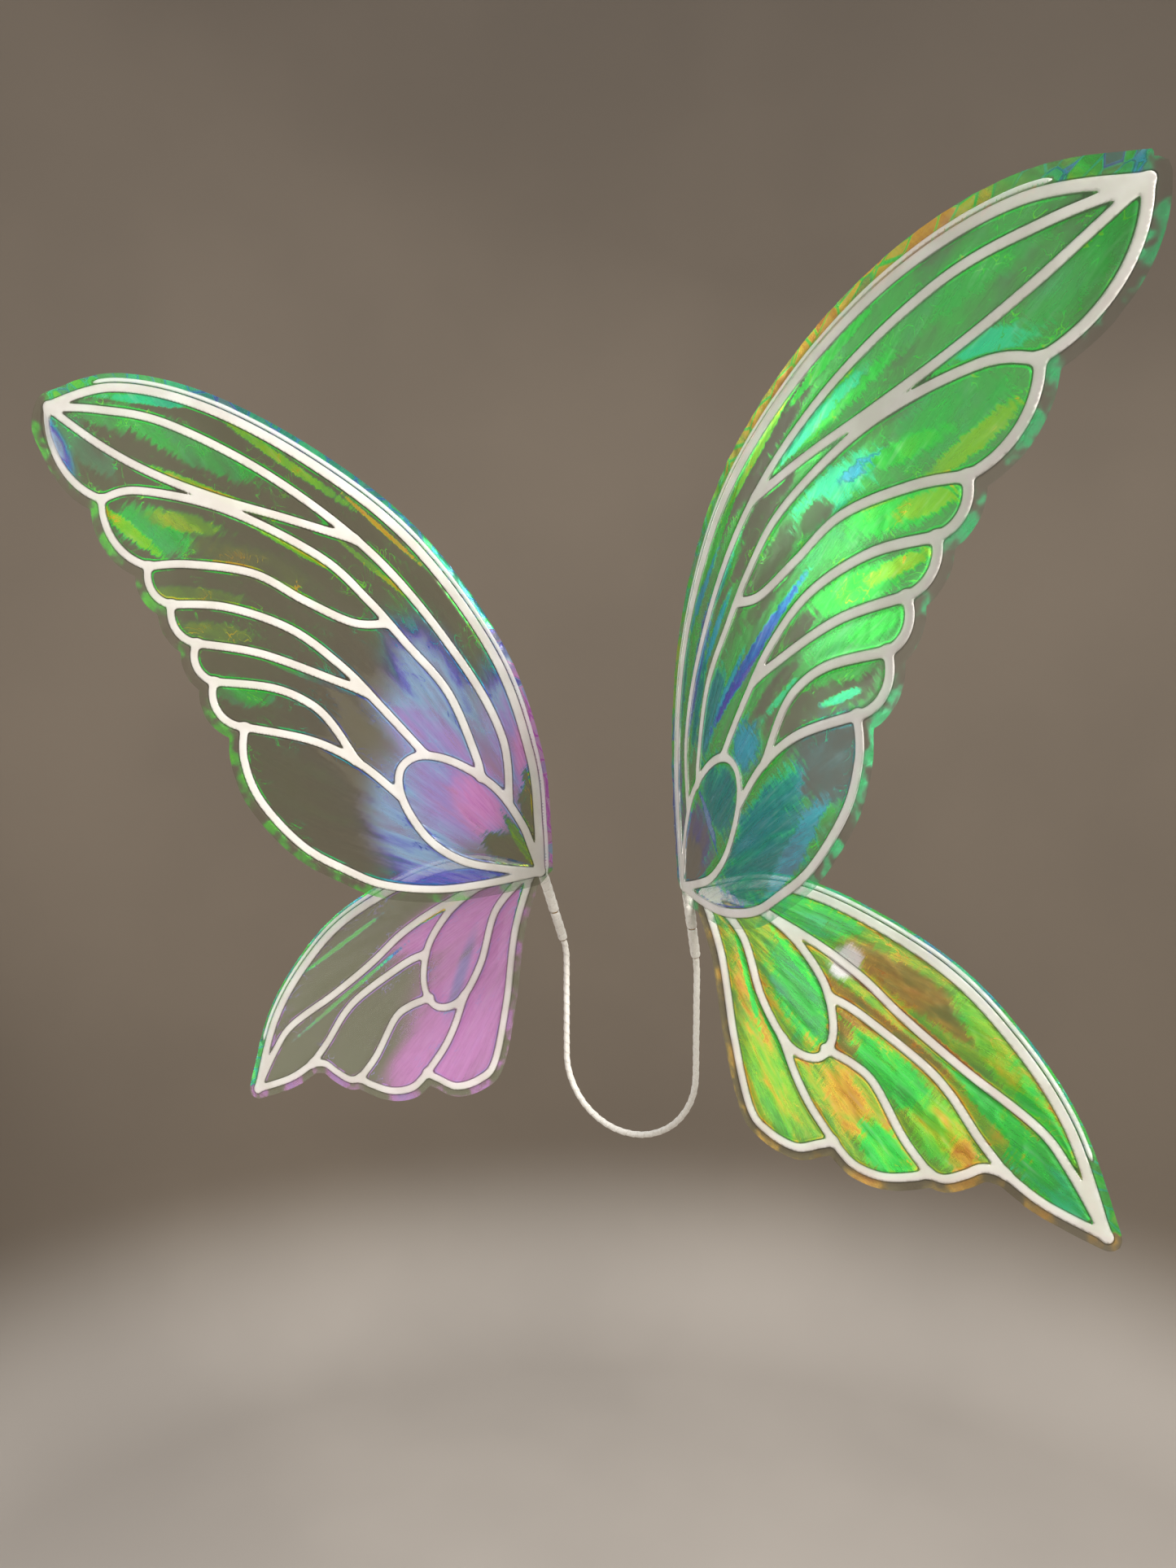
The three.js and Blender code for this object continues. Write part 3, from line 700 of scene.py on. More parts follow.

# How each wing's film is painted. The hues and glows are painted reflection: they stand in for the
# iridescent colour and the light that the film mirrors from one side, and they stay on the surface
# from any view. Left and right wings are painted differently, their clear tints too, because light
# falls differently on them. The glow is 0 for clear film and 1 for film painted as mirroring fully.
# clear: the tint of clear film and how much it covers. base: hue and glow outside every dab.
# wander: how far noise turns the hue. milky: 1 where the pinks and blues are matt, or 0.
# leading: the hues of the leading margin, from root to tip. trailing: hue and glow of the other.
# Each dab: its middle u and v, half length and half width in millimetres, its turn in degrees
# towards +v, its hue and its glow. A later dab lies over an earlier one.
PAINT = {
    ("right", "forewing"): {
        "clear": ("smoke", 0.2),
        "base": ("leaf", 0.4),
        "wander": 0.1,
        "milky": 0.0,
        "leading": [(0.0, "cyan"), (0.1, "blue"), (0.2, "lime"), (0.42, "leaf"), (0.5, "lime"),
                    (0.56, "gold"), (0.88, "gold"), (0.95, "lime"), (1.0, "mint")],
        "trailing": ("mint", 0.85),
        "dabs": [
            (345, -118, 90, 10, 4, "leaf", 0.06),
            (335, -125, 60, 3.5, 3, "lime", 0.9),
            (425, -108, 46, 4, 13, "neon", 0.8),
            (520, -82, 70, 8, 28, "leaf", 0.3),
            (150, -106, 62, 11, -24, "teal", 0.55),
            (225, -118, 52, 5, -6, "cyan", 0.8),
            (92, -88, 36, 10, -42, "violet", 0.45),
            (70, -62, 40, 12, -44, "blue", 0.35),
            (265, -124, 44, 4, -2, "neon", 0.6),
            (245, -100, 40, 6, -2, "teal", 0.75),
            (170, -84, 62, 9, -16, "blue", 0.6),
            (215, -81, 50, 3.5, -6, "cyan", 0.9),
            (150, -66, 44, 5, -20, "teal", 0.7),
            (330, -92, 44, 8, 4, "leaf", 0.12),
            (420, -82, 72, 13, 15, "neon", 0.85),
            (396, -88, 52, 6, 14, "mint", 0.95),
            (505, -56, 76, 13, 22, "leaf", 0.55),
            (556, -40, 34, 5, 34, "leaf", 0.4),
            (300, -86, 70, 7, 2, "leaf", 0.1),
            (430, -38, 70, 6, 20, "leaf", 0.3),
            (496, -10, 34, 9, 42, "mint", 0.85),
            (486, -4, 24, 5, 46, "neon", 1.0),
            (556, 6, 48, 13, 4, "leaf", 0.6),
            (300, -60, 50, 12, 6, "leaf", 0.16),
            (368, -42, 44, 16, 24, "mint", 0.75),
            (345, -44, 18, 12, 30, "leaf", 0.2),
            (398, -30, 26, 6, 30, "cyan", 0.7),
            (452, -2, 46, 20, 24, "leaf", 0.6),
            (450, 22, 40, 8, 12, "lime", 0.6),
            (420, -14, 34, 8, 32, "neon", 0.7),
            (160, -46, 44, 13, -10, "teal", 0.8),
            (190, -38, 40, 4, -4, "cyan", 0.9),
            (225, -30, 70, 5, 4, "violet", 0.7),
            (262, -28, 60, 4.5, 5, "blue", 0.95),
            (280, -46, 46, 8, 10, "leaf", 0.2),
            (350, -18, 44, 14, 28, "leaf", 0.66),
            (392, 10, 40, 14, 38, "neon", 0.95),
            (406, 24, 24, 7, 36, "lime", 0.9),
            (272, -6, 46, 7, 14, "leaf", 0.12),
            (335, 18, 42, 12, 34, "neon", 0.85),
            (368, 36, 26, 6, 30, "lime", 0.85),
            (182, 8, 26, 18, 0, "cyan", 0.6),
            (232, 6, 40, 6, 10, "leaf", 0.14),
            (228, 15, 30, 3, 8, "mint", 0.6),
            (312, 40, 44, 11, 32, "leaf", 0.62),
            (332, 50, 26, 7, 24, "neon", 0.8),
            (255, 44, 62, 13, 28, "leaf", 0.1),
            (276, 58, 20, 4, 30, "mint", 0.6),
            (50, 0, 42, 32, 0, "violet", 0.3),
            (36, 4, 26, 20, 0, "blue", 0.1),
            (122, 4, 32, 32, 0, "teal", 0.7),
            (91, 4, 4, 26, 14, "sky", 0.95),
            (130, 74, 76, 34, 12, "teal", 0.7),
            (170, 60, 60, 16, 10, "teal", 0.85),
            (175, 100, 84, 9, -6, "cyan", 0.55),
            (246, 82, 40, 34, 40, "cyan", 0.16),
            (58, 66, 56, 14, 48, "sky", 0.25),
        ],
    },
    ("left", "forewing"): {
        "clear": ("olive", 0.3),
        "base": ("leaf", 0.06),
        "wander": 0.16,
        "milky": 1.0,
        "leading": [(0.0, "lilac"), (0.2, "orchid"), (0.35, "mint"), (0.8, "teal"),
                    (1.0, "neon")],
        "trailing": ("neon", 0.65),
        "dabs": [
            (400, -113, 66, 4, 9, "lime", 0.5),
            (525, -72, 62, 5, 36, "mint", 0.75),
            (480, -64, 84, 14, 18, "leaf", 0.42),
            (430, -52, 60, 4, 20, "lime", 0.5),
            (545, -38, 44, 12, 30, "leaf", 0.36),
            (555, 0, 50, 14, 4, "mint", 0.2),
            (452, 8, 44, 18, 24, "leaf", 0.5),
            (436, -14, 40, 9, 30, "lime", 0.36),
            (470, 24, 40, 6, 6, "lime", 0.7),
            (368, -30, 56, 14, 24, "lime", 0.12),
            (386, 24, 44, 8, 38, "lime", 0.22),
            (352, 34, 36, 8, 34, "lime", 0.24),
            (300, 56, 34, 12, 30, "leaf", 0.34),
            (306, -127, 46, 2.2, 1, "gold", 0.5),
            (285, -98, 46, 2.4, 3, "lime", 0.4),
            (316, -40, 30, 2.2, 12, "lime", 0.6),
            (350, -64, 46, 2.6, 14, "lime", 0.7),
            (262, 6, 44, 2.2, 22, "lime", 0.4),
            (190, 74, 44, 22, 10, "gold", 0.08),
            (110, 0, 170, 110, 0, "lilac", 0.04),
            (180, -56, 80, 36, -20, "sky", 0.5),
            (100, -70, 84, 30, -34, "lilac", 0.5),
            (150, -22, 70, 24, 4, "lilac", 0.5),
            (112, 44, 74, 42, -30, "sky", 0.5),
            (112, -2, 60, 36, -20, "lilac", 0.55),
            (84, -10, 40, 24, -24, "orchid", 0.6),
            (72, -56, 46, 9, -38, "orchid", 0.6),
            (44, -36, 40, 10, -40, "lime", 0.12),
            (30, 4, 32, 14, 12, "lime", 0.1),
            (34, -8, 26, 4, -18, "lime", 0.4),
            (58, 56, 56, 9, 46, "violet", 0.5),
            (576, 18, 40, 11, -12, "sky", 0.5),
        ],
    },
    ("right", "hindwing"): {
        "clear": ("bronze", 0.34),
        "base": ("lime", 0.36),
        "wander": 0.3,
        "milky": 0.0,
        "leading": [(0.0, "lime"), (0.3, "leaf"), (0.5, "mint"), (1.0, "neon")],
        "trailing": ("gold", 0.45),
        "dabs": [
            (86, -44, 44, 16, -20, "leaf", 0.5),
            (190, -52, 70, 14, -4, "gold", 0.25),
            (268, -52, 56, 12, 20, "lime", 0.6),
            (220, -30, 110, 4, 1, "amber", 0.35),
            (322, -32, 46, 10, 26, "neon", 0.75),
            (300, -16, 66, 9, 8, "neon", 0.75),
            (180, -14, 70, 6, -2, "gold", 0.25),
            (345, -4, 36, 12, 0, "leaf", 0.85),
            (165, 12, 26, 18, 10, "gold", 0.25),
            (212, 12, 44, 16, 8, "neon", 0.7),
            (262, 22, 24, 20, 30, "lime", 0.8),
            (286, 26, 14, 10, 60, "gold", 0.5),
            (196, 56, 36, 16, 24, "gold", 0.5),
            (246, 66, 30, 18, 10, "neon", 0.85),
            (118, 12, 46, 22, 28, "leaf", 0.45),
            (92, 50, 60, 13, 42, "gold", 0.4),
            (136, 88, 50, 20, 32, "lime", 0.45),
            (108, -6, 46, 3, 14, "neon", 0.9),
            (130, 60, 54, 3, 26, "neon", 0.9),
            (66, 26, 50, 3, 40, "neon", 0.8),
        ],
    },
    ("left", "hindwing"): {
        "clear": ("moss", 0.36),
        "base": ("orchid", 0.02),
        "wander": 0.04,
        "milky": 1.0,
        "leading": [(0.0, "violet"), (0.35, "lilac"), (0.45, "leaf"), (1.0, "leaf")],
        "trailing": ("orchid", 0.75),
        "dabs": [
            (215, -63, 66, 2.2, -2, "leaf", 0.3),
            (232, -20, 80, 2.2, 2, "leaf", 0.25),
            (110, 60, 140, 64, 24, "orchid", 0.66),
            (90, -12, 90, 24, -8, "orchid", 0.66),
            (190, 84, 66, 28, -6, "orchid", 0.66),
            (72, -52, 84, 13, -34, "lilac", 0.62),
            (54, -44, 62, 4.5, -40, "violet", 0.6),
            (118, 34, 46, 7, 34, "lilac", 0.5),
            (98, -27, 42, 2.6, -8, "gold", 1.0),
            (22, 16, 28, 5, 38, "lime", 0.4),
        ],
    },
}
# The painted reflection on the right hindwing, a pale patch: its middle, half length, half width
# and turn.
PALE_REFLECTION_PATCH = (133, -34, 13, 17, 10)


class FilmGrain:
    """The noises and the kept fields that break up one wing's film."""

    def __init__(self, recipe):
        self.place = recipe.kept("pattern", "Vector")
        self.radial = recipe.kept("radial", "Vector")
        self.beside = recipe.kept("beside_vein")
        self.margin = recipe.kept("margin")
        self.streaks = recipe.noise(recipe.stretched(self.radial, (0.012, 0.08, 1)), 1.0, 3.0, 0.6)
        self.silk = recipe.noise(recipe.stretched(self.radial, (0.03, 0.33, 1), 6), 1.0, 3.0, 0.6)
        self.cloud = recipe.noise(
            recipe.stretched(self.radial, (0.03, 0.06, 1), -8), 1.0, 4.0, 0.6, 0.7
        )
        self.comb = recipe.noise(recipe.stretched(self.place, (0.26, 0.03, 1), 14), 1.0, 3.0, 0.75)


def dabbed(recipe, paint, grain):
    """The hue's place along the spectrum, and the glow, once every dab is laid: both are painted
    reflection.
    """
    streaks, cloud = grain.streaks - 0.5, grain.cloud - 0.5
    ragged = streaks * 0.8 + (grain.comb - 0.5) * 1.5 + cloud * 0.7
    soft = streaks * 0.5 + cloud * 0.3
    turned = SPECTRUM[paint["base"][0]]
    glow = paint["base"][1]
    for u, v, half_length, half_width, turn, name, dab_glow in paint["dabs"]:
        away = recipe.away(grain.place, u, v, half_length, half_width, turn)
        smooth = paint["milky"] and SPECTRUM[name] < SPECTRUM["blue"]
        mask = (away + soft).rise(1.35, 0.3) if smooth else (away + ragged).rise(1.2, 0.7)
        turned = recipe.between(mask, turned, SPECTRUM[name])
        glow = recipe.between(mask, glow, dab_glow)
    turned = turned + cloud * paint["wander"] + streaks * paint["wander"] * 0.8
    # Painted light: streaks and clouds that brighten the painted reflection.
    lit = (
        grain.streaks.rise(0.36, 0.64) * 0.5
        + grain.silk.rise(0.35, 0.65) * 0.15
        + grain.cloud.rise(0.3, 0.7) * 0.4
    )
    return turned, glow * (lit * 0.8 + 0.5), ragged


def creased(recipe, grain, turned, glow):
    """Painted glints on the creases that run out from the veins, and along the veins' edges."""
    beside = grain.beside
    folds = recipe.noise(
        recipe.stretched(grain.radial, (0.035, 0.09, 1), -12), 1.0, 2.0, 0.5, 1.4
    )
    # Painted glints along thin crease lines near the veins.
    crease_glint = (folds - 0.5).absolute().rise(0.014, 0.003) * grain.cloud.rise(0.5, 0.6)
    crease_glint = crease_glint * beside.rise(18.0, 3.0)
    # Painted glint along the film's side of each vein's edge.
    vein_edge_glint = beside.rise(0.6, 1.0) * beside.rise(2.6, 1.5) * grain.streaks.rise(0.42, 0.58)
    return turned + crease_glint * 0.12 + vein_edge_glint * 0.06, glow + crease_glint * 0.5 + vein_edge_glint * 0.55


def margin_film(recipe, paint, grain, turned, glow):
    """The film beyond the outline: hue and glow in flakes, and the facets it is crumpled in, with
    painted glints on its seams.
    """
    tiles = recipe.stretched(grain.place, (0.05, 0.1, 1), 24)
    flake = recipe.noise(recipe.stretched(grain.place, (0.035, 0.035, 1)), 1.0, 3.0, 0.55)
    facets = recipe.node("TexVoronoi", {"feature": "F1"}, {"Vector": tiles, "Scale": 1.0}, "Color")
    seams = recipe.node(
        "TexVoronoi", {"feature": "DISTANCE_TO_EDGE"}, {"Vector": tiles, "Scale": 1.0}
    )
    seam_glint = seams.rise(0.09, 0.02)
    facet, other = (
        recipe.node("SeparateColor", None, {"Color": facets}, channel)
        for channel in ("Red", "Green")
    )
    comb = grain.comb - 0.5

    stops = [(part, (SPECTRUM[name],) * 3) for part, name in paint["leading"]]
    along = recipe.kept("along") + (facet - 0.5) * 0.08
    front = recipe.node("ValToRGB", {"stops": stops}, {"Fac": along})
    front = recipe.node("RGBToBW", None, {"Color": front})
    # Painted glints on the seams between crumpled facets, and each facet's own painted reflection.
    front = front + (other - 0.5) * 0.14 + comb * 0.15 - seam_glint * 0.14
    front_glow = other.rise(0.1, 0.5, 0.35, 0.8) + comb * 0.5 + seam_glint * 0.15

    trailing, trailing_glow = paint["trailing"]
    rear = (flake - 0.5) * 0.25 + SPECTRUM[trailing]
    rear_glow = flake.rise(0.42, 0.7) * trailing_glow + comb * 0.12

    leading = recipe.kept("leading_margin")
    turned = recipe.between(grain.margin, turned, recipe.between(leading, rear, front))
    glow = recipe.between(grain.margin, glow, recipe.between(leading, rear_glow, front_glow))
    return turned, glow.held(0.0, 1.0), facet


def film_finish(side, kind):
    """The iridescent film of one wing. Its hue is painted in dabs along the spectrum, a painted
    reflection that stands in for the hue that turns with the film's tilt.
    """
    colours = bpy.context.scene.fairy_film_colours
    recipe = Recipe(f"film_{side}_{kind}")
    paint = PAINT[side, kind]
    grain = FilmGrain(recipe)
    turned, glow, ragged = dabbed(recipe, paint, grain)
    turned, glow = creased(recipe, grain, turned, glow)
    turned, glow, facet = margin_film(recipe, paint, grain, turned, glow)

    def hue(name):
        return tuple(getattr(colours, name))

    stops = [(part, hue(name)) for name, part in SPECTRUM.items()]
    spectrum = recipe.node("ValToRGB", {"stops": stops}, {"Fac": turned})
    # Painted sheen: pale pearl screened over the hues where the painted reflection is strong.
    sheen = grain.silk.rise(0.5, 0.75) * glow * 0.16
    pale = recipe.mix(sheen, spectrum, hue("pearl"), "SCREEN")
    clear, clear_cover = paint["clear"]
    colour = recipe.mix(glow.rise(0.0, 0.45), hue(clear), pale)
    milky = turned.rise(0.37, 0.3) * paint["milky"]
    opaque = recipe.between(glow.rise(0.0, 0.9), clear_cover, 0.8)
    opaque = opaque * recipe.between(milky, 1.0, 0.85) * recipe.between(grain.margin, 1.0, 0.7)
    # Painted reflection: a pale pearl patch on the right hindwing, more opaque there.
    if (side, kind) == ("right", "hindwing"):
        patch = (recipe.away(grain.place, *PALE_REFLECTION_PATCH) + ragged * 0.6).rise(1.1, 0.6)
        colour = recipe.mix(patch * 0.85, colour, hue("pearl"))
        opaque = recipe.between(patch, opaque, 0.75)

    beside = grain.beside
    # Painted shadow: a near-black line along each vein's edge, where the film tents off the card,
    # with the film more opaque there.
    vein_edge_shadow = beside.rise(0.0, 0.2) * beside.rise(1.3, 0.6)
    colour = recipe.mix(vein_edge_shadow * 0.75, colour, (0.02, 0.025, 0.02))
    opaque = recipe.between(vein_edge_shadow * 0.7, opaque, 0.6)
    opaque = recipe.between(recipe.kept("beside_wire").rise(0.2, -0.4), opaque, 0.12)
    opaque = recipe.between(beside.rise(0.2, -0.3), opaque, 0.06)

    height = (
        grain.silk * 0.3 + grain.comb * 0.2 + facet * grain.margin * 0.8 + grain.streaks * 2.0
    )
    return recipe.finish({
        "Base Color": colour,
        "Metallic": 0.55 - milky * 0.55,
        "Roughness": 0.2 + grain.silk * 0.16,
        "IOR": 1.5,
        "Alpha": opaque,
        "Normal": recipe.bump(height, 0.35, 0.0006),
        "Coat Weight": 0.12,
        "Coat Roughness": 0.08,
        "Coat IOR": 1.55,
    })


def card_finish():
    """White card of the veins, faintly fibrous."""
    recipe = Recipe("vein_card")
    place = recipe.kept("pattern", "Vector")
    fibre = recipe.noise(place, 0.9, 5.0, 0.7)
    shade = recipe.noise(place, 0.03, 3.0)
    warm = recipe.mix(shade.rise(0.35, 0.65), tint("#f4f1ec"), tint("#e6e1da"))
    colour = recipe.mix(fibre.rise(0.55, 0.8) * 0.25, warm, tint("#cfc8bf"))
    return recipe.finish({
        "Base Color": colour,
        "Roughness": 0.42 + fibre * 0.2,
        "Normal": recipe.bump(fibre, 0.15, 0.0002),
        "Coat Weight": 0.35,
        "Coat Roughness": 0.12,
    })


def sleeve_finish():
    """White plastic sleeve of the edge wires."""
    recipe = Recipe("wire_sleeve_white")
    place = recipe.kept("pattern", "Vector")
    scuff = recipe.noise(recipe.stretched(place, (0.12, 1.2, 1)), 1.0, 4.0, 0.6)
    colour = recipe.mix(scuff.rise(0.5, 0.75) * 0.3, tint("#fbfbf8"), tint("#dcdcd6"))
    return recipe.finish({
        "Base Color": colour,
        "Roughness": 0.28 + scuff * 0.18,
        "Normal": recipe.bump(scuff, 0.12, 0.0003),
        "Coat Weight": 0.3,
    })


def tape_finish():
    """White cotton tape wound in a spiral, with its weave, and painted shade in the weave's hollows
    and at the foot of each turn.
    """
    recipe = Recipe("cotton_tape")
    wound = recipe.kept("wound", "Vector")
    around, along, turn = (
        recipe.node("SeparateXYZ", None, {"Vector": wound}, axis) for axis in "XYZ"
    )
    weave = (around * 9.0).sine() * (along * 9.0).sine()
    soil = recipe.noise(wound, 0.35, 4.0, 0.6)
    # Painted shade at the foot of each turn, where it tucks under the edge of the next.
    out_of_lap_shade = turn.rise(0.0, 0.14)
    colour = recipe.mix(soil.rise(0.45, 0.7) * 0.5, tint("#f2efe8"), tint("#d8d1c5"))
    colour = recipe.mix((1 - out_of_lap_shade) * 0.6, colour, tint("#9c948a"))
    return recipe.finish({
        # Painted shade: darker in the hollows of the weave.
        "Base Color": recipe.mix(weave.rise(-1, -0.2, 0.35, 0.0), colour, tint("#b9b1a6")),
        "Roughness": 0.78 + soil * 0.15,
        "Normal": recipe.bump(weave * 0.5 + soil, 0.5, 0.00025),
        "Sheen Weight": 0.3,
    })


def metal_finish(name, colour, worn, roughness):
    """Drawn wire or tube, with fine lines along it and dull patches."""
    recipe = Recipe(name)
    place = recipe.node("TexCoord", None, None, output="Object")
    lines = recipe.noise(recipe.stretched(place, (2600, 2600, 160)), 1.0, 3.0, 0.6)
    dull = recipe.noise(place, 90.0, 4.0, 0.6)
    return recipe.finish({
        "Base Color": recipe.mix(dull.rise(0.4, 0.7), tint(colour), tint(worn)),
        "Metallic": 1.0,
        "Roughness": roughness + lines * 0.16 + dull * 0.12,
        "Normal": recipe.bump(lines, 0.2, 0.0001),
    })


# ---- Vein frames ----------------------------------------------------------------------------


EDGE_SOFTENED = 0.3  # share of the card's half thickness that its cut edges lose


class FAIRY_OT_vein_frames(bpy.types.Operator):
    """Cut the four white vein frames and hang them"""

    bl_idname = "fairy.vein_frames"
    bl_label = "Vein frames"

    def execute(self, context):
        sizes = context.scene.fairy_wing_sizes
        material = card_finish()
        half = sizes.card_half / MM
        for kind, pattern in PATTERNS.items():
            grid = Grid(pattern, sizes.frame_step / MM)
            points, faces = cut_sheet(grid, -vein_field(grid, pattern, sizes))
            solid, sides = closed_card(points, faces, half, softened=half * EDGE_SOFTENED)
            for side in SIDES:
                name = f"{side}_{kind}_veins"
                piece = mesh_object(name, hung(side, kind, solid), sides, material,
                                    flip=side == "left")
                mark(piece, "pattern", solid)
                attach(piece, f"{side}_wings")
                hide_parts(f"{side}_{kind}_vein_frame")
        return {"FINISHED"}


# ---- Film sheets ----------------------------------------------------------------------------

FILM_OVER_VEIN = 0.95  # height of the film above the wing's middle, over a vein
FILM_OVER_WIRE = 1.25
FILM_IN_CELL = 0.12
TENT_WIDTH = 2.4  # the film comes down this far from a vein's edge
TIP_CURL = 9.0  # how far the left forewing's tip curls back
FAN_BACK = 60  # the film's streaks fan out from this far behind the root
FAN_SPREAD = 260  # millimetres across the fan for each radian
FAR_REACH = 60  # as far as the nearest edge of a margin is looked for
FIRST_SEED = 11


def fan(points):
    """How far each point is from the root, and how far round the streaks' fan."""
    u, v = points.T
    return np.hypot(u, v), np.arctan2(v, u + FAN_BACK) * FAN_SPREAD


def film_gap(beside_vein, beside_wire):
    """Half the gap between the two sheets, which tent over the veins and the wire."""
    over_vein = (FILM_OVER_VEIN - FILM_IN_CELL) * smooth_step(beside_vein, TENT_WIDTH, -0.4)
    over_wire = (FILM_OVER_WIRE - FILM_IN_CELL) * smooth_step(beside_wire, TENT_WIDTH, -0.4)
    return FILM_IN_CELL + np.maximum(over_vein, over_wire)


def film_stand(side, kind, points, kept, cell, sizes):
    """How far both sheets stand off the wing's middle, in ripples, pillows and pleats."""
    u, v = points.T
    beside, outside = kept["beside_vein"], kept["margin"]
    seed = FIRST_SEED + 7 * SIDES.index(side) + 3 * (kind == "hindwing")
    broad, narrow, crumple = Noise(seed), Noise(seed + 1), Noise(seed + 2)
    radius, swing = fan(points)
    free = smooth_step(np.minimum(beside, kept["beside_wire"]), 0.5, 13)
    ripple = broad.at(radius / 75 + 20 * cell, swing / 19)
    ripple = ripple + 0.4 * narrow.at(radius / 42 + 30 * cell, swing / 9)
    folds = np.clip(1 - np.abs(crumple.at(u / 24 + v / 60, v / 15 - u / 70)) * 2.4, 0, None)
    pillow = np.where(cell > 0.45, 1, -1) * (0.5 + cell) * (1 - np.exp(-np.clip(beside, 0, 60) / 9))
    stand = sizes.ripple / MM * free * (ripple + 0.35 * folds**3) + sizes.pillow / MM * pillow
    pleats = crumple.at(u / 13 + v / 31, v / 17 - u / 37) + 0.5 * narrow.at(u / 8, v / 13)
    pleats = pleats * smooth_step(beside, 0.5, 6) * sizes.crease / MM
    stand = stand * (1 - outside) + pleats * outside
    if (side, kind) == ("left", "forewing"):
        curl = smooth_step(u - PATTERNS[kind].tip[0], -60, 10) * smooth_step(v, -12, 26)
        stand = stand - TIP_CURL * curl * curl
    return stand


GOLDEN_PART = 0.6180339887  # its multiples spread evenly over 0 to 1
STEPS_UNDER_VEINS = 4


def cells_between(veins, outline_inside):
    """A number from 0 to 1 for each cell that the veins close off, spread a little under them."""
    free = (veins > 0) & outline_inside
    label = np.where(free, np.arange(free.size).reshape(free.shape) + 1, 0)
    for under_veins in (False, True):
        for _ in range(STEPS_UNDER_VEINS if under_veins else sum(free.shape)):
            grown = label.copy()
            grown[1:] = np.maximum(grown[1:], label[:-1])
            grown[:-1] = np.maximum(grown[:-1], label[1:])
            grown[:, 1:] = np.maximum(grown[:, 1:], label[:, :-1])
            grown[:, :-1] = np.maximum(grown[:, :-1], label[:, 1:])
            keep = label > 0 if under_veins else ~free
            grown[keep] = label[keep]
            if (grown == label).all():
                break
            label = grown
    return (label * GOLDEN_PART) % 1


def snap_to_veins(grid, field, points, step, small=0.25):
    """Moves the points nearest to a vein's edge onto it, so that the film folds there."""
    here = grid.sample(field, points)
    slope = np.stack(
        [
            (grid.sample(field, points + shift) - grid.sample(field, points - shift)) / (2 * small)
            for shift in (np.array([small, 0]), np.array([0, small]))
        ],
        axis=1,
    )
    near = (np.abs(here) < step * 0.45)[:, None]
    return np.where(near, points - np.clip(here, -step, step)[:, None] * slope, points)


class FAIRY_OT_films(bpy.types.Operator):
    """Drape the front and back film sheets over each vein frame"""

    bl_idname = "fairy.films"
    bl_label = "Film sheets"

    def execute(self, context):
        sizes = context.scene.fairy_wing_sizes
        for side, kind in WINGS:
            self.drape(side, kind, sizes)
        return {"FINISHED"}

    def drape(self, side, kind, sizes):
        pattern = PATTERNS[kind]
        points, faces, kept, cell = self.flat_sheet(pattern, side, sizes)
        gap = film_gap(kept["beside_vein"], kept["beside_wire"])
        stand = film_stand(side, kind, points, kept, cell, sizes)
        material = film_finish(side, kind)
        for layer, sign in (("front", 1), ("back", -1)):
            solid = np.column_stack([points, stand + sign * gap])
            piece = mesh_object(f"{side}_{kind}_film_{layer}_sheet", hung(side, kind, solid),
                                faces, material, flip=(side == "left") != (sign < 0))
            mark(piece, "pattern", np.column_stack([points, np.zeros(len(points))]))
            mark(piece, "radial", np.column_stack([*fan(points), 40 * cell + 0.15 * sign]))
            for name, values in kept.items():
                mark(piece, name, values)
            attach(piece, f"{side}_wings")
            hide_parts(f"{side}_{kind}_film_{layer}")

    def flat_sheet(self, pattern, side, sizes):
        """A sheet cut flat, what its material and its relief need at each point, and its cells."""
        grid = Grid(pattern, sizes.film_step / MM)
        veins = vein_field(grid, pattern, sizes)
        film = film_field(grid, pattern, pattern.leading_margins[side])
        points, faces = cut_sheet(grid, film)
        rim = np.unique([a for a, _ in rim_edges(faces)])
        snapped = snap_to_veins(grid, veins, points, grid.step)
        snapped[rim] = points[rim]
        points = snapped
        inside = grid.within(pattern.outline)
        nearest = np.rint((points - grid.low) / grid.step).astype(int)
        cell = cells_between(veins, inside)[tuple(nearest.T)]
        to_leading, to_trailing = (
            grid.sample(
                np.minimum.reduce([grid.distance(line, FAR_REACH) for line in lines]), points
            )
            for lines in ([pattern.leading], pattern.trailing)
        )
        kept = {
            "beside_vein": grid.sample(veins, points),
            "beside_wire": grid.sample(
                grid.distance(rib_run(pattern)) - RIB_HALF_WIDTH, points
            ),
            "margin": 1 - grid.sample(inside.astype(float), points),
            "leading_margin": (to_leading < to_trailing).astype(float),
            "along": points[:, 0] / pattern.tip[0],
        }
        return points, faces, kept, cell

    @staticmethod
    def face_area(points, face):
        u, v = points[face].T
        return abs(np.dot(u, np.roll(v, -1)) - np.dot(v, np.roll(u, -1))) / 2


# ---- Edge wires -----------------------------------------------------------------------------


def tube(rings):
    """Points and faces of a closed tube through rings of points, each end closed by a fan of faces.
    """
    around = len(rings[0])
    first, last = rings[0].mean(0), rings[-1].mean(0)
    points = np.vstack([*rings, first, last])
    faces = []
    for i in range(len(rings) - 1):
        for k in range(around):
            a, b = i * around + k, i * around + (k + 1) % around
            faces.append([a, b, b + around, a + around])
    start, end = len(points) - 2, len(points) - 1
    base = (len(rings) - 1) * around
    faces += [[start, (k + 1) % around, k] for k in range(around)]
    faces += [[end, base + k, base + (k + 1) % around] for k in range(around)]
    return points, faces


FIRST_SIDE = (0.3, 0.9, 0.2)  # no path starts along it


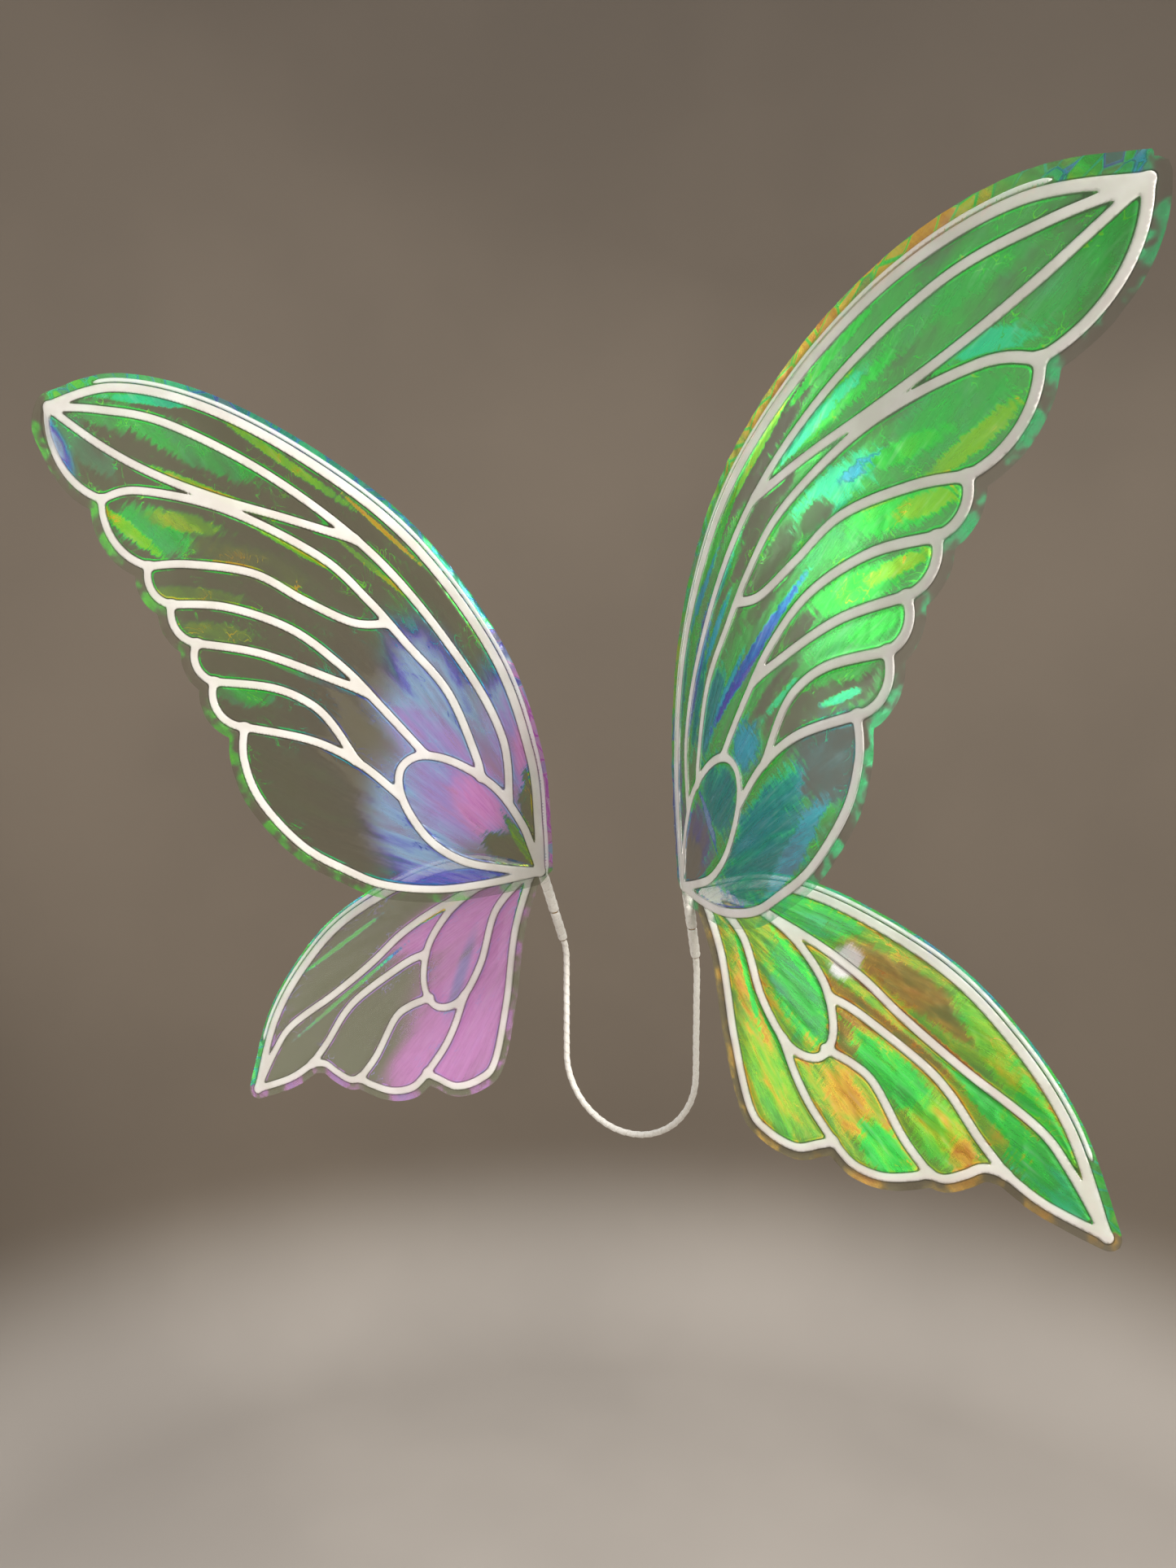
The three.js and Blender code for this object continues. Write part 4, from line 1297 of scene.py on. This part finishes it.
def rings_along(path, radii, around=12):
    """Round rings of points across a path, turning as little as they can."""
    path = np.asarray(path, float)
    along = np.gradient(path, axis=0)
    along /= np.linalg.norm(along, axis=1)[:, None]
    side = np.cross(along[0], FIRST_SIDE)
    rings = []
    angle = np.linspace(0, 2 * math.pi, around, endpoint=False)[:, None]
    for point, way, radius in zip(path, along, radii):
        side = side - way * (side @ way)
        side /= np.linalg.norm(side)
        up = np.cross(way, side)
        rings.append(point + radius * (np.cos(angle) * side + np.sin(angle) * up))
    return rings


TAIL_RADIUS = 0.78
TAIL_ASIDE = {"forewing": -2.7, "hindwing": 2.7}  # beside the stem's axis
TAIL_IN_WING = (12, 4, -2)  # along the leading vein from the wire's start
TAIL_IN_STEM = (5, 14, 36)  # down the stem from its top
SLEEVE_TAPER = 5  # length of the sleeve's rounded ends


class FAIRY_OT_edge_wires(bpy.types.Operator):
    """Lay the sleeved wire outside each leading vein and run its tail into the stem"""

    bl_idname = "fairy.edge_wires"
    bl_label = "Edge wires"

    def execute(self, context):
        material = sleeve_finish()
        for side, kind in WINGS:
            sleeve, tail = self.sleeve(kind), self.tail(kind)
            rib_points, rib_faces = tube(sleeve)
            tail_points, tail_faces = tube(tail)
            points = np.vstack([hung(side, kind, rib_points), to_side(side, tail_points * MM)])
            shift = len(rib_points)
            faces = rib_faces + [[number + shift for number in face] for face in tail_faces]
            piece = mesh_object(f"{side}_{kind}_edge_wire_sleeve", points, faces, material,
                                flip=side == "left")
            mark(piece, "pattern", np.vstack([rib_points, tail_points]))
            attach(piece, f"{side}_wings")
            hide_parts(f"{side}_{kind}_edge_wire")
        return {"FINISHED"}

    def sleeve(self, kind, around=14):
        """Rings of the flattened sleeve in the pattern, tapered at both ends."""
        line = evenly(rib_run(PATTERNS[kind]), 2.5)
        along = np.gradient(line, axis=0)
        along /= np.linalg.norm(along, axis=1)[:, None]
        across = np.stack([-along[:, 1], along[:, 0]], axis=1)
        run = running_length(line)
        taper = np.sqrt(np.clip(np.minimum(run, run[-1] - run) / SLEEVE_TAPER, 0.04, 1))
        lump = 1 + 0.03 * np.sin(run / 9) + 0.02 * np.sin(run / 4.1 + 1)
        angle = np.linspace(0, 2 * math.pi, around, endpoint=False)
        rings = []
        for point, way, size in zip(line, across, taper * lump):
            flat = point + np.outer(np.cos(angle) * RIB_HALF_WIDTH * size, way)
            rings.append(np.column_stack([flat, np.sin(angle) * RIB_HALF_HEIGHT * size]))
        return rings

    def tail(self, kind):
        """Rings of the bare tail, in millimetres on the right side."""
        pattern = PATTERNS[kind]
        start = rib_run(pattern)[:2]
        way = (start[1] - start[0]) / np.linalg.norm(start[1] - start[0])
        inside = [np.append(start[0] + way * distance, 0) for distance in TAIL_IN_WING]
        in_wing = hung("right", kind, np.array(inside)) / MM
        aside = Vector((TAIL_ASIDE[kind], 0, 0))
        bends = [STEM_TOP + Vector(bend) for bend in pattern.tail]
        in_stem = [down_stem(distance) + aside for distance in TAIL_IN_STEM]
        route = np.array([*in_wing.tolist(), *bends, *in_stem], float)
        path = catmull(route, pitch=1.5)
        return rings_along(path, np.full(len(path), TAIL_RADIUS), around=10)


# ---- Tape and metal -------------------------------------------------------------------------


# Each wrap: its outer and inner radius, and the pitch of its tape, in millimetres.
STEM_WRAP = (4.8, 3.75, 8.5)
SOCKET_WRAP = (4.45, 3.35, 8.5)
HARNESS_WRAP = (3.0, 1.95, 9.5)
STEM_WRAP_RUN = (0.8, 40.4)  # from and to, down the stem from its top
SOCKET_WRAP_RUN = (41.8, 72.2)
TAPE_WALL = 0.45
TAPE_LAP = 0.1  # share of a turn in which the surface steps up at the tape's edge
TAPE_END = 1.6  # length over which an end of a wrap is rounded


def wound(path, radius, bore, pitch, around=36):
    """A sleeve of tape wound along a path: each turn's edge stands proud of the last one."""
    path = evenly(np.asarray(path, float), 0.8)
    run = running_length(path)
    angle = np.linspace(0, 2 * math.pi, around, endpoint=False)
    unit = np.array(rings_along(path, np.ones(len(path)), around))
    wobble = 0.18 * np.sin(run / 5.3) + 0.1 * np.sin(run / 2.2 + 2)
    turn = ((run + wobble)[:, None] / pitch + angle[None, :] / (2 * math.pi)) % 1.0
    proud = np.where(turn < TAPE_LAP, turn / TAPE_LAP, 1 - (turn - TAPE_LAP) / (1 - TAPE_LAP))
    slack = 0.05 * np.sin(3 * angle[None, :] + run[:, None] / 6)
    size = radius - TAPE_WALL + TAPE_WALL * proud + slack
    rounding = np.clip(np.minimum(run, run[-1] - run) / TAPE_END, 0, 1)[:, None]
    size = bore + (size - bore) * np.sqrt(0.25 + 0.75 * rounding)
    outer = path[:, None, :] + (unit - path[:, None, :]) * size[:, :, None]
    inner = path[:, None, :] + (unit - path[:, None, :]) * bore
    count = len(path)
    points = np.vstack([outer.reshape(-1, 3), inner.reshape(-1, 3)])
    faces = []
    shift = count * around
    for i in range(count - 1):
        for k in range(around):
            a, b = i * around + k, i * around + (k + 1) % around
            faces.append([a, b, b + around, a + around])
            faces.append([a + shift, a + shift + around, b + shift + around, b + shift])
    for k in range(around):
        a, b = k, (k + 1) % around
        faces.append([a, a + shift, b + shift, b])
        a, b = (count - 1) * around + k, (count - 1) * around + (k + 1) % around
        faces.append([a, b, b + shift, a + shift])
    marks = np.stack(
        [
            np.broadcast_to(angle * radius, turn.shape),
            np.broadcast_to(run[:, None], turn.shape),
            turn,
        ],
        axis=-1,
    ).reshape(-1, 3)
    return points, faces, np.vstack([marks, marks])


HARNESS_START = 74  # down a stem from its top
HARNESS_HALF_WIDTH = 67
HARNESS_FOOT = -40  # height at which the bend of the U begins
HARNESS_BEND_RUN = 9


def harness_line():
    """The line of the U from one stem's foot down and round to the other's, in millimetres."""
    above = BEND - DOWN_STEM * HARNESS_BEND_RUN
    below = BEND - Vector((0, 0, HARNESS_BEND_RUN))
    part = np.linspace(0, 1, 12)[:, None]
    soft = (1 - part) ** 2 * np.array(above) + 2 * part * (1 - part) * np.array(BEND)
    soft = soft + part**2 * np.array(below)
    angle = np.linspace(0, math.pi / 2, 24)
    across, down = HARNESS_HALF_WIDTH * np.cos(angle), HARNESS_HALF_WIDTH * np.sin(angle)
    arc = np.stack([across, 0 * angle, HARNESS_FOOT - down], axis=1)
    right = np.vstack([np.array(down_stem(HARNESS_START))[None, :], soft, arc])
    left = right[::-1] * np.array([-1, 1, 1])
    return np.vstack([right[:-1], left])


class FAIRY_OT_tape_wraps(bpy.types.Operator):
    """Wind cotton tape round the stems, the sockets and the harness"""

    bl_idname = "fairy.tape_wraps"
    bl_label = "Tape wraps"

    def execute(self, context):
        material = tape_finish()
        for side in SIDES:
            stem = [down_stem(distance) for distance in STEM_WRAP_RUN]
            socket = [down_stem(distance) for distance in SOCKET_WRAP_RUN]
            self.wrap(f"{side}_stem_tape", stem, STEM_WRAP, side, material, f"{side}_wings")
            self.wrap(f"{side}_socket_tape", socket, SOCKET_WRAP, side, material, "harness")
        self.wrap("harness_tape", harness_line(), HARNESS_WRAP, "right", material, "harness")
        return {"FINISHED"}

    def wrap(self, name, path, sizes, side, material, body):
        """Winds one wrap and gives it the place of its node."""
        points, faces, marks = wound(path, *sizes)
        piece = mesh_object(name, to_side(side, points * MM), faces, material,
                            flip=side == "left")
        mark(piece, "wound", marks)
        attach(piece, body)
        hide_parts(f"{name}_wrap")


class FAIRY_OT_metal_parts(bpy.types.Operator):
    """Give the rods and the socket tubes their metal finishes"""

    bl_idname = "fairy.metal_parts"
    bl_label = "Metal parts"

    def execute(self, context):
        steel = metal_finish("drawn_steel", "#b4b5b8", "#8e9094", 0.22)
        brass = metal_finish("plain_brass", "#c9a45e", "#9a7840", 0.26)
        finishes = {"harness_rod": steel}
        for side in SIDES:
            finishes[f"{side}_stem_rod"] = steel
            finishes[f"{side}_socket_tube"] = brass
        for name, material in finishes.items():
            node = NODES[name]
            node.data.materials.clear()
            node.data.materials.append(material)
        return {"FINISHED"}


# ---- Stage ----------------------------------------------------------------------------------

# Each light: its place, what it points at, its diameter, its setting on the panel and its share
# of that power, and its colour.
LIGHTS = {
    "key_light": (
        (1.55, -0.5, 0.9), (-0.2, -0.1, 0.25), 0.5, "key_power", 1.0, (1.0, 0.97, 0.92)),
    "sheen_light": (
        (-1.1, -0.95, 0.75), (0.25, -0.15, 0.35), 2.3, "sheen_power", 1.0, (1.0, 1.0, 0.98)),
    "glint_light": (
        (-1.42, -0.7, 0.62), (0.25, -0.15, 0.35), 0.7, "sheen_power", 0.32, (1.0, 1.0, 0.98)),
    "low_light": (
        (-0.85, -1.5, -0.5), (0.1, -0.1, 0), 1.0, "sheen_power", 0.5, (1.0, 0.98, 0.96)),
    "top_light": (
        (0.2, 0.9, 1.8), (0, -0.1, 0.15), 1.3, "sheen_power", 1.2, (1.0, 0.98, 0.95)),
}
ROOM_COLOUR = (0.86, 0.9, 1.0)
ROOM_STRENGTH = 0.55
SWEEP_FILLET = 0.45
SWEEP_TOP = 2.6
SWEEP_AROUND = 96
CAMERA_PLACE = (0.480, -0.941, 0.329)
CAMERA_TURN = (84.1, 0.0, 29.1)
CAMERA_LENS = 27.0
CAMERA_SENSOR = 36


class FAIRY_OT_stage(bpy.types.Operator):
    """Set the floor, the wall round the wings, the lights and the camera"""

    bl_idname = "fairy.stage"
    bl_label = "Stage"

    def execute(self, context):
        look = context.scene.fairy_stage_look
        self.sweep(look)
        self.lights(look)
        self.camera(context.scene)
        self.world(context.scene)
        return {"FINISHED"}

    def sweep(self, look):
        """A round floor that turns up into a wall all the way round."""
        angle = np.linspace(0, math.pi / 2, 14)
        turn_up = [
            (look.wall_radius - SWEEP_FILLET + SWEEP_FILLET * math.sin(a),
             look.floor_height + SWEEP_FILLET - SWEEP_FILLET * math.cos(a)) for a in angle
        ]
        profile = [(0.02, look.floor_height), *turn_up, (look.wall_radius, SWEEP_TOP)]
        around = SWEEP_AROUND
        points, faces = [], []
        for radius, height in profile:
            for k in range(around):
                turn = 2 * math.pi * k / around
                points.append((radius * math.cos(turn), radius * math.sin(turn), height))
        for i in range(len(profile) - 1):
            for k in range(around):
                a, b = i * around + k, i * around + (k + 1) % around
                faces.append([a, b, b + around, a + around])
        faces.append(list(range(around))[::-1])
        recipe = Recipe("studio_sweep")
        place = recipe.node("TexCoord", None, None, output="Object")
        height = recipe.node("SeparateXYZ", None, {"Vector": place}, "Z")
        level = height.rise(look.floor_height + 0.02, look.floor_height + 0.4)
        mottle = recipe.noise(place, 1.3, 3.0)
        colour = recipe.mix(level, tuple(look.floor), tuple(look.wall))
        material = recipe.finish({
            "Base Color": recipe.mix(mottle.rise(0.3, 0.7) * 0.12, colour, (0.02, 0.02, 0.02)),
            "Roughness": 0.9,
        })
        mesh_object("studio_sweep", points, faces, material)

    def lights(self, look):
        """The key from the right, and the soft lights that the right wing's film mirrors."""
        for name, (place, target, size, setting, share, colour) in LIGHTS.items():
            self.area(name, place, target, size, getattr(look, setting) * share, colour)

    def area(self, name, place, target, size, power, colour):
        lamp = bpy.data.lights.new(name, "AREA")
        lamp.shape = "DISK"
        lamp.size = size
        lamp.energy = power
        lamp.color = colour
        made = bpy.data.objects.new(name, lamp)
        made.location = place
        made.rotation_euler = (Vector(target) - Vector(place)).to_track_quat("-Z", "Y").to_euler()
        made.visible_camera = False
        bpy.context.scene.collection.objects.link(made)

    def camera(self, scene):
        data = bpy.data.cameras.new("camera")
        data.lens = CAMERA_LENS
        data.sensor_width = CAMERA_SENSOR
        data.clip_start = 0.02
        made = bpy.data.objects.new("camera", data)
        made.location = CAMERA_PLACE
        made.rotation_euler = [math.radians(angle) for angle in CAMERA_TURN]
        scene.collection.objects.link(made)
        scene.camera = made

    def world(self, scene):
        world = bpy.data.worlds.new("soft_room")
        world.use_nodes = True
        background = world.node_tree.nodes["Background"]
        background.inputs["Color"].default_value = (*ROOM_COLOUR, 1)
        background.inputs["Strength"].default_value = ROOM_STRENGTH
        scene.world = world
        scene.view_settings.view_transform = "Standard"


# ---- Panel and registration -----------------------------------------------------------------

OPERATORS = (
    FAIRY_OT_stage,
    FAIRY_OT_vein_frames,
    FAIRY_OT_films,
    FAIRY_OT_edge_wires,
    FAIRY_OT_tape_wraps,
    FAIRY_OT_metal_parts,
)


class FAIRY_PT_panel(bpy.types.Panel):
    """Lists the wings' sizes, colours and pieces"""

    bl_idname = "FAIRY_PT_panel"
    bl_label = "Fairy Wings"
    bl_space_type = "VIEW_3D"
    bl_region_type = "UI"
    bl_category = "Fairy Wings"

    def draw(self, context):
        for group in ("fairy_wing_sizes", "fairy_film_colours", "fairy_stage_look"):
            settings = getattr(context.scene, group)
            box = self.layout.box()
            for name in settings.bl_rna.properties.keys():
                if name not in {"rna_type", "name"}:
                    box.prop(settings, name)
        for operator in OPERATORS:
            self.layout.operator(operator.bl_idname)


GROUPS = {
    "fairy_wing_sizes": FairyWingSizes,
    "fairy_film_colours": FairyFilmColours,
    "fairy_stage_look": FairyStageLook,
}


def register():
    for group in GROUPS.values():
        bpy.utils.register_class(group)
    for name, group in GROUPS.items():
        setattr(bpy.types.Scene, name, bpy.props.PointerProperty(type=group))
    for operator in OPERATORS:
        bpy.utils.register_class(operator)
    bpy.utils.register_class(FAIRY_PT_panel)


def unregister():
    bpy.utils.unregister_class(FAIRY_PT_panel)
    for operator in reversed(OPERATORS):
        bpy.utils.unregister_class(operator)
    for name in GROUPS:
        delattr(bpy.types.Scene, name)
    for group in reversed(GROUPS.values()):
        bpy.utils.unregister_class(group)


def main():
    register()
    for operator in OPERATORS:
        group, name = operator.bl_idname.split(".")
        getattr(getattr(bpy.ops, group), name)()


if __name__ == "__main__":
    main()
